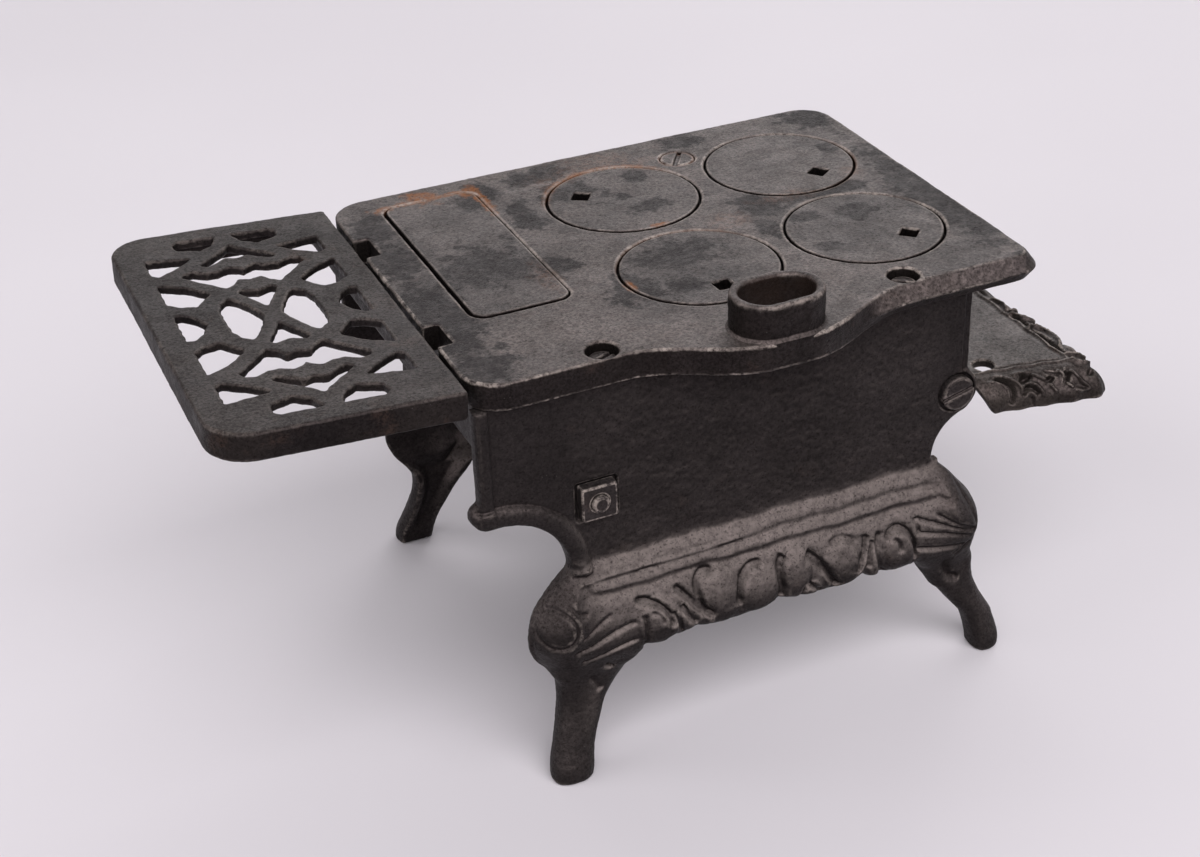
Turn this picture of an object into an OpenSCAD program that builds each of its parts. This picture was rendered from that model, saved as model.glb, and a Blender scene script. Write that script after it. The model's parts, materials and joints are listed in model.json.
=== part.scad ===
// Toy cast-iron cook stove: body castings, loose lids, hooked side shelf, hearth apron and doors.
// +X runs along the stove from the hearth end to the shelf end, +Y towards the flue side, +Z up.

/* [Top plate] */
// Height of the cooking surface above the ground
stove_h = 110; // [108:1:114]
// Length of the top plate along X
plate_l = 143.8; // [142:0.2:146]
// Depth of the top plate along Y
plate_d = 106.5; // [106:0.1:107.5]
// Thickness of the cooking surface
plate_t = 3.2; // [2.8:0.1:3.6]
// Depth of the band round the plate's edge
band_h = 7; // [6:0.5:8]
// Width of the band round the plate's edge
band_w = 5.6; // [5.2:0.1:6]
// Radius of the plate's corners
plate_r = 9; // [6:0.5:10]
// How far the flue bulge stands out of the rear edge
bulge_out = 11.5; // [10:0.5:13]

/* [Lids] */
// Radius of each round lid opening
hole_r = 20; // [19:0.5:20.5]
// Gap between a lid or cover and its opening
lid_gap = 0.5; // [0.3:0.1:0.7]
// Width of the ledge that a lid rests on
ledge_w = 2.4; // [2:0.1:3]
// Depth of the recess that a lid sits in
recess_h = 2; // [1.6:0.1:2.2]
// Distance between lid centres along X
lid_pitch_x = 45.5; // [44:0.5:46]
// Distance between lid centres along Y
lid_pitch_y = 44; // [43:0.5:45]
// Side of the square lifter hole in each lid
lifter_s = 4.4; // [4:0.2:5]
// Length of the reservoir opening along Y
cover_l = 68.2; // [66:0.2:70]
// Width of the reservoir opening along X
cover_w = 25.4; // [24:0.2:26]

/* [Flue collar] */
// Outer length of the oval collar along X
collar_l = 24; // [22:0.5:26]
// Outer width of the oval collar along Y
collar_w = 15.5; // [14:0.5:17]
// Height of the collar above the cooking surface
collar_h = 9; // [7:0.5:11]
// Wall of the collar
collar_wall = 2.7; // [2.2:0.1:3.2]

/* [Body] */
// Thickness of the front and rear panels
panel_t = 2.8; // [2.6:0.1:3]
// Height where the plain panel meets the moulded skirt
skirt_top = 55; // [54:0.5:56]
// Thickness of the inner walls and end walls
wall_t = 2.4; // [2:0.1:2.6]
// Half the distance between foot centres along X
foot_x = 58.5; // [57:0.5:60]

/* [Side shelf] */
// Length of the shelf away from the stove
shelf_l = 56.4; // [55:0.2:58]
// Angle that the hooked shelf rises towards its free edge
shelf_tilt = 3.5; // [2:0.5:4]
// Thickness of the openwork
web_t = 2.8; // [2.4:0.1:3.2]

/* [Hearth apron] */
// Height of the apron's flat top
apron_z = 74; // [73:0.5:75]
// How far the apron reaches from the middle of the stove
apron_x = 95.3; // [93:0.5:97]
// Drop of the apron's border
apron_drop = 8; // [6:0.5:9]

/* [Fasteners] */
// Diameter of the tie bolts
bolt_d = 4.4; // [4:0.1:4.6]
// Width of the square nuts across flats
nut_af = 9; // [8.6:0.1:9.4]
// Diameter of the round slotted heads
head_d = 9; // [8:0.2:9.4]

/* [Hidden] */
$fn = 64;

clr = 0.05;                                   // running and assembly clearance
cut = 1;                                      // how far a cutter runs past a face
iron = [0.17, 0.16, 0.16];
iron_dark = [0.11, 0.105, 0.105];
iron_worn = [0.24, 0.22, 0.21];
steel = [0.36, 0.34, 0.33];

plate_back = plate_d / 2;
panel_y = 50.5;                               // outer plane of the rear panel
panel_in = panel_y - panel_t;
band_z = stove_h - band_h;                    // underside of the band, which rests on the panels
under_z = stove_h - plate_t;                  // underside of the cooking surface
knee_y = 60;                                  // reach of the knees
foot_y = 60.6;                                // reach of the feet

hole_x = -43.7;                               // lid centres nearest the hearth end
lid_x = [hole_x, hole_x + lid_pitch_x];
lid_y = [-lid_pitch_y / 2, lid_pitch_y / 2];
lifter_off = 11.2;
cover_at = [47.2, -11.6];
cover_r = 4;
collar_at = [-0.7, 56];
collar_r = 6.5;
bulge_half = 36;
bulge_flat = 5;

wall_x_fire = -55.4;
wall_x_res = 62;
part_x_fire = -21;
part_x_res = 33;
floor_z = 57.6;
oven_top_z = 83.1;
pan_z = 77;
grate_z = 66;

bolt_a = [43.1, 72.3];                        // tie bolt under the reservoir: X and Z
bolt_b = [-54.5, 74.4];                       // tie bolt at the hearth end
head_h = 2.2;
nut_h = 3;
nut_recess = 1;
slot_w = 1.1;
slot_h = 0.9;
screw_x = [39.6, -38.4];                      // recessed screws into the rear panel
screw_y = 48.9;
screw_r = 1.3;
front_bolt = [-21.5, -38.3];

shelf_gap = 0.9;
bead_r = 0.42;                                // round lip on the shelf's inner edge, on the tilt axis
shelf_x = plate_l / 2 + shelf_gap;
shelf_w = plate_d - 0.9;
apron_root = -61;                             // inner edge of the apron's flat top

// The overall box is centred on the origin in X and Y.
x_max = shelf_x + shelf_l * cos(shelf_tilt) + band_h * sin(shelf_tilt);
y_max = plate_back + bulge_out;
at_x = (apron_x - x_max) / 2;
at_y = (foot_y - y_max) / 2;

module placed() { translate([at_x, at_y, 0]) children(); }

// ---------- shared shapes ----------

module round_rect(l, w, r) {
    square([l - 2 * r, w], center = true);
    square([l, w - 2 * r], center = true);
    for (sx = [-1, 1], sy = [-1, 1]) {
        translate([sx * (l / 2 - r), sy * (w / 2 - r)]) circle(r = r);
    }
}

// Smooth curve through the given points, with n steps between neighbours.
function catmull(a, b, c, d, t) =
    0.5 * ((2 * b) + (c - a) * t + (2 * a - 5 * b + 4 * c - d) * t * t
    + (3 * b - a - 3 * c + d) * t * t * t);
function spline(p, n = 4) = let (k = len(p) - 1) concat(
    [for (i = [0 : k - 1], s = [0 : n - 1])
        catmull(p[max(i - 1, 0)], p[i], p[i + 1], p[min(i + 2, k)], s / n)], [p[k]]);

// Prism of a shape drawn in X and Z, from y0 to y1.
module along_y(y0, y1) {
    translate([0, y1, 0]) rotate([90, 0, 0]) linear_extrude(y1 - y0) children();
}

// Prism of a shape drawn in Y and Z, from x0 to x1.
module along_x(x0, x1) {
    translate([x0, 0, 0]) rotate([90, 0, 90]) linear_extrude(x1 - x0) children();
}

module block(x, y, z) { translate([x[0], y[0], z[0]]) cube([x[1] - x[0], y[1] - y[0], z[1] - z[0]]); }

// Round slotted head lying on the plane z = 0, dome upwards.
module slotted_head(d, h) {
    edge = 0.9;
    difference() {
        union() {
            cylinder(d = d, h = h - edge);
            translate([0, 0, h - edge]) cylinder(d1 = d, d2 = d - 2 * edge, h = edge);
        }
        translate([0, 0, h - slot_h / 2]) cube([d + cut, slot_w, slot_h + 0.01], center = true);
    }
}

// ---------- top plate, lids and cover ----------

function ramp(t) = t <= 0 ? 0 : t >= 1 ? 1 : t * t * (3 - 2 * t);
function bulge(x) = bulge_out * (1 - ramp((abs(x) - bulge_flat) / (bulge_half - bulge_flat)));

module plate_outline() {
    round_rect(plate_l, plate_d, plate_r);
    steps = 24;
    overlap = 12;
    polygon(concat([[collar_at[0] - bulge_half, plate_back - overlap]],
        [for (i = [0 : steps]) let (x = -bulge_half + 2 * bulge_half * i / steps)
            [collar_at[0] + x, plate_back + bulge(x)]],
        [[collar_at[0] + bulge_half, plate_back - overlap]]));
}

module collar_shape(inset) { round_rect(collar_l - 2 * inset, collar_w - 2 * inset, collar_r - inset); }

module top_plate() {
    notch_d = 4;
    notch_l = 10;
    notch_y = [25, -26];
    socket_r = 3.9;
    socket_h = 3.4;
    color(iron) placed() difference() {
        union() {
            translate([0, 0, band_z]) linear_extrude(band_h) plate_outline();
            translate([collar_at[0], collar_at[1], under_z]) linear_extrude(plate_t + collar_h) collar_shape(0);
        }
        difference() {
            translate([0, 0, band_z - cut]) linear_extrude(band_h - plate_t + cut) offset(delta = -band_w)
                plate_outline();
            translate([front_bolt[0], front_bolt[1], band_z]) cylinder(r = 6, h = band_h);
            for (x = screw_x) translate([x, screw_y, band_z]) cylinder(r = socket_r + 1.6, h = band_h);
        }
        for (x = lid_x, y = lid_y) {
            translate([x, y, stove_h - recess_h]) cylinder(r = hole_r, h = recess_h + cut);
            translate([x, y, band_z - cut]) cylinder(r = hole_r - ledge_w, h = band_h + 2 * cut);
        }
        translate([cover_at[0], cover_at[1], stove_h - recess_h]) linear_extrude(recess_h + cut)
            round_rect(cover_w, cover_l, cover_r);
        translate([cover_at[0], cover_at[1], band_z]) linear_extrude(band_h)
            round_rect(cover_w - 2 * ledge_w, cover_l - 2 * ledge_w, cover_r - 1);
        translate([collar_at[0], collar_at[1], band_z - cut]) linear_extrude(band_h + collar_h + 2 * cut)
            collar_shape(collar_wall);
        for (y = notch_y) {
            translate([plate_l / 2 - notch_d, y - notch_l / 2, band_z - cut])
                cube([notch_d + cut, notch_l, band_h + 2 * cut]);
        }
        for (x = screw_x) {
            translate([x, screw_y, stove_h - socket_h]) cylinder(r = socket_r, h = socket_h + cut);
            translate([x, screw_y, band_z - cut]) cylinder(r = screw_r + 0.2, h = band_h + cut);
        }
        translate([front_bolt[0], front_bolt[1], stove_h - head_h]) cylinder(r = head_d / 2 + 0.3, h = head_h + cut);
        translate([front_bolt[0], front_bolt[1], band_z - cut]) cylinder(r = bolt_d / 2 + 0.2, h = band_h + cut);
    }
}

// Stepped lid with an off-centre lifter hole, turned by the given angle.
module lid(x, y, turn) {
    color(iron_worn) placed() translate([x, y, 0]) rotate([0, 0, turn]) difference() {
        union() {
            translate([0, 0, stove_h - recess_h]) cylinder(r = hole_r - lid_gap, h = recess_h);
            translate([0, 0, under_z]) cylinder(r = hole_r - ledge_w - lid_gap, h = plate_t);
        }
        translate([lifter_off - lifter_s / 2, -lifter_s / 2, under_z - cut])
            cube([lifter_s, lifter_s, plate_t + 2 * cut]);
    }
}

module lid_front_right() lid(lid_x[1], lid_y[0], -35);
module lid_front_left() lid(lid_x[0], lid_y[0], 126);
module lid_rear_right() lid(lid_x[1], lid_y[1], 94);
module lid_rear_left() lid(lid_x[0], lid_y[1], 136);

module reservoir_cover() {
    color(iron_worn) placed() translate([cover_at[0], cover_at[1], 0]) {
        translate([0, 0, stove_h - recess_h]) linear_extrude(recess_h)
            round_rect(cover_w - 2 * lid_gap, cover_l - 2 * lid_gap, cover_r - lid_gap);
        translate([0, 0, under_z]) linear_extrude(plate_t - recess_h)
            round_rect(cover_w - 2 * ledge_w - 2 * lid_gap, cover_l - 2 * ledge_w - 2 * lid_gap, cover_r - 1.5);
    }
}

// ---------- front and rear panels, each cast with its skirt and legs ----------

// Plain part of a panel, drawn in X and Z, with a cove at each lower corner.
module panel_shape() {
    x0 = -58.1;
    x1 = plate_l / 2 - 0.2;
    cove_r = 17.5;
    cove_x = 68.2;
    small_r = 12;
    small_x = -60.5;
    difference() {
        union() {
            translate([x0, skirt_top - 6]) square([x1 - x0, band_z - skirt_top + 6]);
            translate([bolt_b[0], bolt_b[1]]) circle(r = 6.2);
            translate([x1 - 0.6, 75.6]) circle(r = 3);
        }
        translate([cove_x, skirt_top - 0.5]) circle(r = cove_r);
        translate([cove_x, skirt_top - cove_r - 6]) square([40, cove_r + 23]);
        translate([small_x, 57]) circle(r = small_r);
        translate([small_x - 20, 40]) square([20, 29]);
    }
}

// Front view of one leg and knee, drawn in X and Z for the side where X is positive.
module leg_front() {
    s = foot_x - 58.5;
    polygon(concat(
        spline([[46, 57.5], [51.5, 57], [57, 53.5], [61.5, 48], [63.5, 42], [61.6, 34.5], [58.6, 25],
            [59.2, 17], [61.4 + s, 8], [63.6 + s, 2.5], [62.8 + s, 0]]),
        spline([[54.2 + s, 0], [53 + s, 2.5], [51, 10], [47.6, 18.5], [43, 24.5], [37.3, 29.5], [34.6, 33.5]]),
        [[34.6, 45], [46, 50]]));
}

// Side view of the skirt and leg, drawn in Y and Z.
module leg_side() {
    polygon(concat(
        spline([[panel_y, 58], [51.4, 56], [54, 52.5], [58.6, 47.5], [knee_y, 42], [58.4, 34], [56.3, 26],
            [56.2, 19], [58.2, 9], [60.6, 3], [60.3, 0]]),
        spline([[53.6, 0], [52.3, 3], [50.3, 12], [49, 22], [50, 30], [51.8, 38], [50, 46], [panel_in, 52]]),
        [[panel_in, 58]]));
}

// Cross-section of the skirt between the legs: bead, cove and bulging fascia.
module skirt_side() {
    t = 2.5;
    outer = spline([[panel_y, 56], [52.4, 54.6], [52.2, 52.4], [54.4, 50.6], [55, 48.4], [57.4, 46.2],
        [59, 41], [58.4, 35], [57, 31]]);
    inner = [for (i = [len(outer) - 1 : -1 : 0]) [max(outer[i][0] - t, panel_in), outer[i][1]]];
    polygon(concat(outer, inner));
}

// Scalloped front view of the skirt, mirrored about the middle.
module skirt_front() {
    half = spline([[0, 34.8], [3, 33], [11, 32.6], [19, 33], [23.2, 34.4], [25.4, 33], [28, 34],
        [32, 32.4], [37, 31]]);
    edge_top = 56;
    for (side = [0, 1]) mirror([side, 0]) polygon(concat([[-0.01, edge_top], [-0.01, 34.8]], half,
        [[46, 36], [50, edge_top]]));
}

module side_casting() {
    difference() {
        union() {
            along_y(panel_in, panel_y) panel_shape();
            intersection() {
                along_x(-50, 50) skirt_side();
                along_y(panel_in, knee_y + 5) skirt_front();
            }
            for (side = [0, 1]) mirror([side, 0, 0]) intersection() {
                along_x(30, 70) leg_side();
                along_y(panel_in - cut, knee_y + 5) leg_front();
            }
            // raised bead down the shelf-end edge
            block([plate_l / 2 - 3.4, plate_l / 2 - 0.2], [panel_y - 0.1, panel_y + 1], [76, band_z]);
            // lugs that carry the grate
            for (x = [-50, -28]) block([x, x + 4], [panel_in - 3.7, panel_in + 0.1], [grate_z - 3, grate_z]);
        }
        for (b = [bolt_a, bolt_b]) {
            translate([b[0], panel_in - cut, b[1]]) rotate([-90, 0, 0])
                cylinder(r = bolt_d / 2 + clr, h = panel_t + 2 * cut);
        }
        for (x = [wall_x_fire, wall_x_res]) groove(x, 77);
        for (x = [part_x_fire, part_x_res]) groove(x, floor_z);
    }
}

// Slot in a panel's inner face that takes the edge of an inner wall.
groove_d = 1.1;
module groove(x, z0) {
    w = wall_t / 2 + clr;
    block([x - w, x + w], [panel_in - cut, panel_in + groove_d + clr], [z0 - clr, band_z + cut]);
}

module rear_panel() {
    recess_s = nut_af + 1.6;
    boss_h = 12;
    color(iron_dark) placed() difference() {
        union() {
            side_casting();
            // bosses for the screws of the top plate
            for (x = screw_x) translate([x, screw_y - 2.1, band_z - boss_h]) cylinder(r = 3.2, h = boss_h);
        }
        translate([bolt_a[0], panel_y - nut_recess, bolt_a[1]]) rotate([-90, 0, 0])
            translate([-recess_s / 2, -recess_s / 2, 0]) cube([recess_s, recess_s, nut_recess + cut]);
        for (x = screw_x) translate([x, screw_y, band_z - boss_h + 1]) cylinder(r = screw_r + clr, h = boss_h);
    }
}

oven_x = [-13, 26];                           // oven doorway
oven_z = [60.8, 81.5];
fire_x = [-46, -27];                          // fire doorway
fire_z = [83, 96.5];
ash_z = [57.8, 66.8];                         // draught opening under the fire door
door_t = 2.3;
door_gap = 0.4;
door_y = -panel_y - door_gap - door_t;        // outer face of a closed door
hinge_y = -53.2;
knuckle_r = 1.9;
pin_r = 0.8;
lap = 3;                                      // how far a door covers its doorway's edge
oven_hinge_x = oven_x[1] + lap + 2.3;
fire_hinge_x = fire_x[0] - lap - 2.3;
knuckle_h = 5;
knuckle_in = 3;

function door_z(z) = [z[0] - lap, z[1] + lap];

// Hinge lugs on the front panel, just inside the knuckles of the door; on a short door they meet.
module hinge_lugs(x, z) {
    end_gap = 0.2;
    z0 = door_z(z)[0] + knuckle_in + knuckle_h + end_gap;
    z1 = door_z(z)[1] - knuckle_in - knuckle_h - end_gap;
    h = min(4, z1 - z0);
    for (zl = [z0, z1 - h]) difference() {
        union() {
            translate([x, hinge_y, zl]) cylinder(r = knuckle_r, h = h);
            block([x - 1.2, x + 1.2], [hinge_y, -panel_y + 0.1], [zl, zl + h]);
        }
        translate([x, hinge_y, zl - cut]) cylinder(r = pin_r + clr, h = h + 2 * cut);
    }
}

module front_panel() {
    color(iron_dark) placed() {
        difference() {
            mirror([0, 1, 0]) side_casting();
            block(oven_x, [-panel_y - cut, -panel_in + cut], oven_z);
            block(fire_x, [-panel_y - cut, -panel_in + cut], fire_z);
            for (x = [-48.5, -43, -37.5, -32]) block([x, x + 3.6], [-panel_y - cut, -panel_in + cut], ash_z);
        }
        hinge_lugs(oven_hinge_x, oven_z);
        hinge_lugs(fire_hinge_x, fire_z);
    }
}

// ---------- inner walls ----------

wall_y = panel_in + groove_d;                 // inner walls reach into the panel grooves

// Inner wall whose edges sit in the panel grooves; above the panels it fits inside the plate's band.
module upright(x, z0, z1) {
    side = [x - wall_t / 2, x + wall_t / 2];
    inner_y = plate_back - band_w - 0.1;
    block(side, [-wall_y, wall_y], [z0, min(z1, band_z - clr)]);
    block(side, [-inner_y, inner_y], [z0, z1]);
}

module firebox_end_wall() { color(iron_dark) placed() upright(wall_x_fire, 79.4, under_z - clr); }

module reservoir_end_wall() { color(iron_dark) placed() upright(wall_x_res, pan_z, under_z - clr); }

module firebox_partition() {
    color(iron_dark) placed() difference() {
        union() {
            upright(part_x_fire, floor_z, oven_top_z);
            // ledges for the oven floor and top, and the boss for the front plate bolt
            block([part_x_fire, part_x_fire + 3.2], [-40, 40], [floor_z - 2.2, floor_z]);
            translate([front_bolt[0], front_bolt[1], oven_top_z - 12]) cylinder(r = 4.4, h = 14.4);
            // rail that carries the grate
            block([part_x_fire - 3.4, part_x_fire], [-30, 30], [grate_z - 2, grate_z]);
        }
        translate([front_bolt[0], front_bolt[1], oven_top_z - 10]) cylinder(r = bolt_d / 2 + clr, h = 14);
    }
}

plate_x = [part_x_fire + wall_t / 2 + 0.1, part_x_res - wall_t / 2 - 0.1];

module oven_floor() {
    color(iron_dark) placed() block(plate_x, [-panel_in + 0.1, panel_in - 0.1], [floor_z, floor_z + wall_t]);
}

module oven_top() {
    color(iron_dark) placed() difference() {
        block([part_x_fire, plate_x[1]], [-panel_in + 0.1, panel_in - 0.1], [oven_top_z, oven_top_z + wall_t]);
        translate([front_bolt[0], front_bolt[1], oven_top_z - cut]) cylinder(r = 4.6, h = wall_t + 2 * cut);
    }
}

module reservoir_pan() {
    color(iron_dark) placed() {
        upright(part_x_res, floor_z, under_z - clr);
        block([part_x_res, wall_x_res - wall_t / 2 - clr], [-panel_in + 0.1, panel_in - 0.1], [pan_z, pan_z + wall_t]);
        block([part_x_res - 3.2, part_x_res], [-40, 40], [floor_z - 2.2, floor_z]);
        block([part_x_res - 3.2, part_x_res], [-40, 40], [oven_top_z - 2.2, oven_top_z]);
    }
}

module fire_grate() {
    x0 = -51;
    x1 = part_x_fire - wall_t / 2 - 0.2;
    half = 32;
    bar = 3.2;
    pitch = 6.4;
    ear = 46.6;
    color(iron_dark) placed() {
        for (y = [-half : pitch : half]) block([x0, x1], [y - bar / 2, y + bar / 2], [grate_z, grate_z + wall_t]);
        for (x = [x0, x1 - bar]) block([x, x + bar], [-half, half], [grate_z, grate_z + wall_t]);
        for (x = [-49.6, -27.6], s = [-1, 1]) {
            block([x, x + bar], [min(s * (half - 1), s * ear), max(s * (half - 1), s * ear)],
                [grate_z, grate_z + wall_t]);
        }
    }
}

// ---------- side shelf ----------

// One quarter of the openwork, measured from the middle of the shelf.
module openwork_quarter() {
    polygon([[2.9, 0], [7.4, 10.8], [10.6, 6], [10.9, 0]]);
    polygon([[0, 5.5], [4.3, 13.8], [0, 13.2]]);
    polygon([[0, 20.5], [2.6, 21], [6.8, 16.6], [9.6, 21.5], [14, 27], [7.5, 25.6], [0, 24.6]]);
    polygon([[11.2, 16], [15.4, 9.6], [21.4, 12.6], [21.4, 23]]);
    polygon([[16, 0], [21.5, 6.2], [21.5, 0]]);
    polygon([[0, 40.4], [0, 33], [8.8, 30.8]]);
    polygon([[11.2, 36], [20.7, 29.2], [21.2, 38.4]]);
    polygon([[1.8, 45.9], [7.4, 39.7], [13.2, 44.6]]);
}

module openwork() {
    for (mx = [0, 1], my = [0, 1]) mirror([mx, 0]) mirror([0, my]) openwork_quarter();
}

module shelf_outline() {
    r = 10;
    difference() {
        translate([-r, 0]) round_rect(shelf_l + 2 * r, shelf_w, r);
        translate([-shelf_l, -shelf_w]) square([shelf_l / 2, 2 * shelf_w]);
    }
}

module side_shelf() {
    rim_w = 5;
    tongue_y = [25, -26];
    tongue_w = 8;
    tongue_t = 2.4;
    color(iron) placed() translate([shelf_x, 0, stove_h]) rotate([0, -shelf_tilt, 0]) {
        difference() {
            translate([shelf_l / 2, 0, -band_h]) linear_extrude(band_h) shelf_outline();
            translate([shelf_l / 2, 0, -band_h - cut]) linear_extrude(band_h - web_t + cut)
                offset(delta = -rim_w) shelf_outline();
            translate([shelf_l / 2, 0, -band_h]) linear_extrude(band_h + cut) openwork();
        }
        // round lip that the shelf tilts about
        translate([-bead_r, shelf_w / 2, -bead_r]) rotate([90, 0, 0]) cylinder(r = bead_r, h = shelf_w);
        block([-bead_r, 0.2], [-shelf_w / 2, shelf_w / 2], [-2 * bead_r, 0]);
        // tongues that hook under the band of the top plate
        for (y = tongue_y) {
            block([0, 4.4], [y - tongue_w / 2, y + tongue_w / 2], [-band_h - tongue_t - 0.5, -band_h + 0.5]);
            block([-6, 4.4], [y - tongue_w / 2, y + tongue_w / 2],
                [-band_h - tongue_t - 0.5, -band_h - 0.5]);
        }
    }
}

// ---------- hearth apron ----------

module apron_outline() {
    r = 6;
    y_out = 57.3;
    y_in = 51.6;
    hull() {
        for (s = [-1, 1]) {
            translate([-apron_x + r, s * (y_out - r)]) circle(r = r);
            translate([apron_root - 0.5, s * (y_in - 0.5)]) circle(r = 0.5);
        }
    }
}

module hearth_apron() {
    t = 2.4;
    y_tab = 46;
    tab_x = [apron_root - 2, -58.6];
    ear_r = 4.4;
    ear_w = 6;
    peg_at = [-68.3, 41.3];
    peg_r = 2.6;
    color(iron) placed() difference() {
        union() {
            difference() {
                translate([0, 0, apron_z - apron_drop]) linear_extrude(apron_drop) apron_outline();
                translate([0, 0, apron_z - apron_drop - cut]) linear_extrude(apron_drop - t + cut)
                    offset(delta = -t) apron_outline();
            }
            block(tab_x, [-y_tab, y_tab], [apron_z - t, apron_z]);
            for (s = [-1, 1]) {
                block([tab_x[0], bolt_b[0]], [s * (y_tab - ear_w / 2) - ear_w / 2, s * (y_tab - ear_w / 2) + ear_w / 2],
                    [apron_z - t - 1, apron_z + 1]);
                translate([bolt_b[0], s * (y_tab - ear_w / 2) - ear_w / 2, bolt_b[1]]) rotate([-90, 0, 0])
                    cylinder(r = ear_r, h = ear_w);
            }
        }
        for (s = [-1, 1]) translate([peg_at[0], s * peg_at[1], apron_z - 2 * t])
            cylinder(r = peg_r, h = 3 * t);
        translate([bolt_b[0], -y_tab - cut, bolt_b[1]]) rotate([-90, 0, 0])
            cylinder(r = bolt_d / 2 + clr, h = 2 * y_tab + 2 * cut);
    }
}

// ---------- doors, knobs and pins ----------

module knob_hole(x, z) {
    translate([x, door_y - cut, z]) rotate([-90, 0, 0]) cylinder(r = 1.2 + clr, h = door_t + 2 * cut);
}

// Door hinged at x, covering the doorway dx by dz with a raised border.
module door(hx, dx, dz, knob) {
    z = door_z(dz);
    x = hx > dx[1] ? [dx[0] - lap, hx] : [hx, dx[1] + lap];
    edge = 1.8;
    side = hx > dx[1] ? 1 : -1;
    lug_z = [z[0] + knuckle_in + knuckle_h, z[1] - knuckle_in - knuckle_h];
    difference() {
        union() {
            block(x, [door_y, door_y + door_t], z);
            for (k = [z[0] + knuckle_in, z[1] - knuckle_in - knuckle_h])
                translate([hx, hinge_y, k]) cylinder(r = knuckle_r, h = knuckle_h);
        }
        // plain sunk field inside the border
        block([dx[0], dx[1]], [door_y - cut, door_y + 0.7], [dz[0], dz[1]]);
        // clearance round the hinge lugs of the front panel
        block([hx - 2.4, hx + 2.4], [door_y - cut, door_y + door_t + cut], [lug_z[0], lug_z[1]]);
        for (end = [[z[0] - cut, z[0] + knuckle_in], [z[1] - knuckle_in, z[1] + cut]])
            block([hx - 2.4, hx + 2.4], [door_y - cut, door_y + door_t + cut], end);
        translate([hx, hinge_y, z[0] - cut]) cylinder(r = pin_r + clr, h = z[1] - z[0] + 2 * cut);
        knob_hole(knob[0], knob[1]);
    }
}

module door_knob(x, z) {
    stem_r = 1.2;
    translate([x, door_y + door_t, z]) rotate([90, 0, 0]) rotate_extrude()
        polygon(concat([[0, 0], [stem_r, 0], [stem_r, door_t]],
            spline([[1.6, door_t], [1.5, door_t + 1.6], [2.9, door_t + 3], [2.9, door_t + 4.2],
                [1.6, door_t + 5.2]]), [[0, door_t + 5.3]]));
}

module hinge_pin(x, dz) {
    z = door_z(dz);
    translate([x, hinge_y, z[0] + knuckle_in - 0.4])
        cylinder(r = pin_r, h = z[1] - z[0] - 2 * knuckle_in + 0.8);
}

oven_knob = [oven_x[0] - 0.2, 71];
fire_knob = [fire_x[1] + 0.2, 89];

module oven_door() { color(iron) placed() door(oven_hinge_x, oven_x, oven_z, oven_knob); }
module oven_door_knob() { color(steel) placed() door_knob(oven_knob[0], oven_knob[1]); }
module oven_door_pin() { color(steel) placed() hinge_pin(oven_hinge_x, oven_z); }
module fire_door() { color(iron) placed() door(fire_hinge_x, fire_x, fire_z, fire_knob); }
module fire_door_knob() { color(steel) placed() door_knob(fire_knob[0], fire_knob[1]); }
module fire_door_pin() { color(steel) placed() hinge_pin(fire_hinge_x, fire_z); }

// ---------- fasteners ----------

// Tie bolt along +Y with its head at the front; the shank ends just proud of the nut.
module tie_bolt(at) {
    proud = 1.2;
    translate([at[0], -panel_y, at[1]]) rotate([90, 0, 0]) slotted_head(head_d, head_h);
    translate([at[0], -panel_y - 0.01, at[1]]) rotate([-90, 0, 0])
        cylinder(d = bolt_d, h = 2 * panel_y - nut_recess + nut_h + proud);
}

module tie_nut(at) {
    translate([at[0], panel_y - nut_recess, at[1]]) rotate([-90, 0, 0]) difference() {
        translate([-nut_af / 2, -nut_af / 2, 0]) cube([nut_af, nut_af, nut_h]);
        translate([0, 0, -cut]) cylinder(r = bolt_d / 2 + clr, h = nut_h + 2 * cut);
    }
}

module tie_bolts() {
    color(steel) placed() {
        tie_bolt(bolt_a);
        mirror([0, 1, 0]) tie_bolt(bolt_b);
    }
}

module tie_nuts() {
    color(steel) placed() {
        tie_nut(bolt_a);
        mirror([0, 1, 0]) translate([0, nut_recess, 0]) tie_nut(bolt_b);
    }
}

module rear_plate_screws() {
    color(steel) placed() for (x = screw_x) translate([x, screw_y, stove_h - 3.4]) {
        slotted_head(6.6, 2);
        translate([0, 0, -13]) cylinder(r = screw_r, h = 13.01);
    }
}

module front_plate_bolt() {
    color(iron) placed() translate([front_bolt[0], front_bolt[1], 0]) {
        translate([0, 0, stove_h - head_h]) slotted_head(head_d, head_h);
        translate([0, 0, oven_top_z - 8]) cylinder(d = bolt_d, h = stove_h - head_h - oven_top_z + 8.01);
    }
}

top_plate();
lid_front_left();
lid_front_right();
lid_rear_left();
lid_rear_right();
reservoir_cover();
rear_panel();
front_panel();
firebox_end_wall();
reservoir_end_wall();
firebox_partition();
oven_floor();
oven_top();
reservoir_pan();
fire_grate();
side_shelf();
hearth_apron();
oven_door();
oven_door_knob();
oven_door_pin();
fire_door();
fire_door_knob();
fire_door_pin();
tie_bolts();
tie_nuts();
rear_plate_screws();
front_plate_bolt();
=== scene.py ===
"""Toy cast-iron cook stove: cast surfaces, finishes, floor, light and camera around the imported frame.

Castings are drawn as signed distance fields in millimetres of the stove's own axes (X from the hearth
end to the shelf end, Y to the flue side, Z up) and turned into meshes in the row frame.
"""

import json
import math

import bpy
import numpy as np
import openvdb
from mathutils import Matrix, Vector


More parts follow.
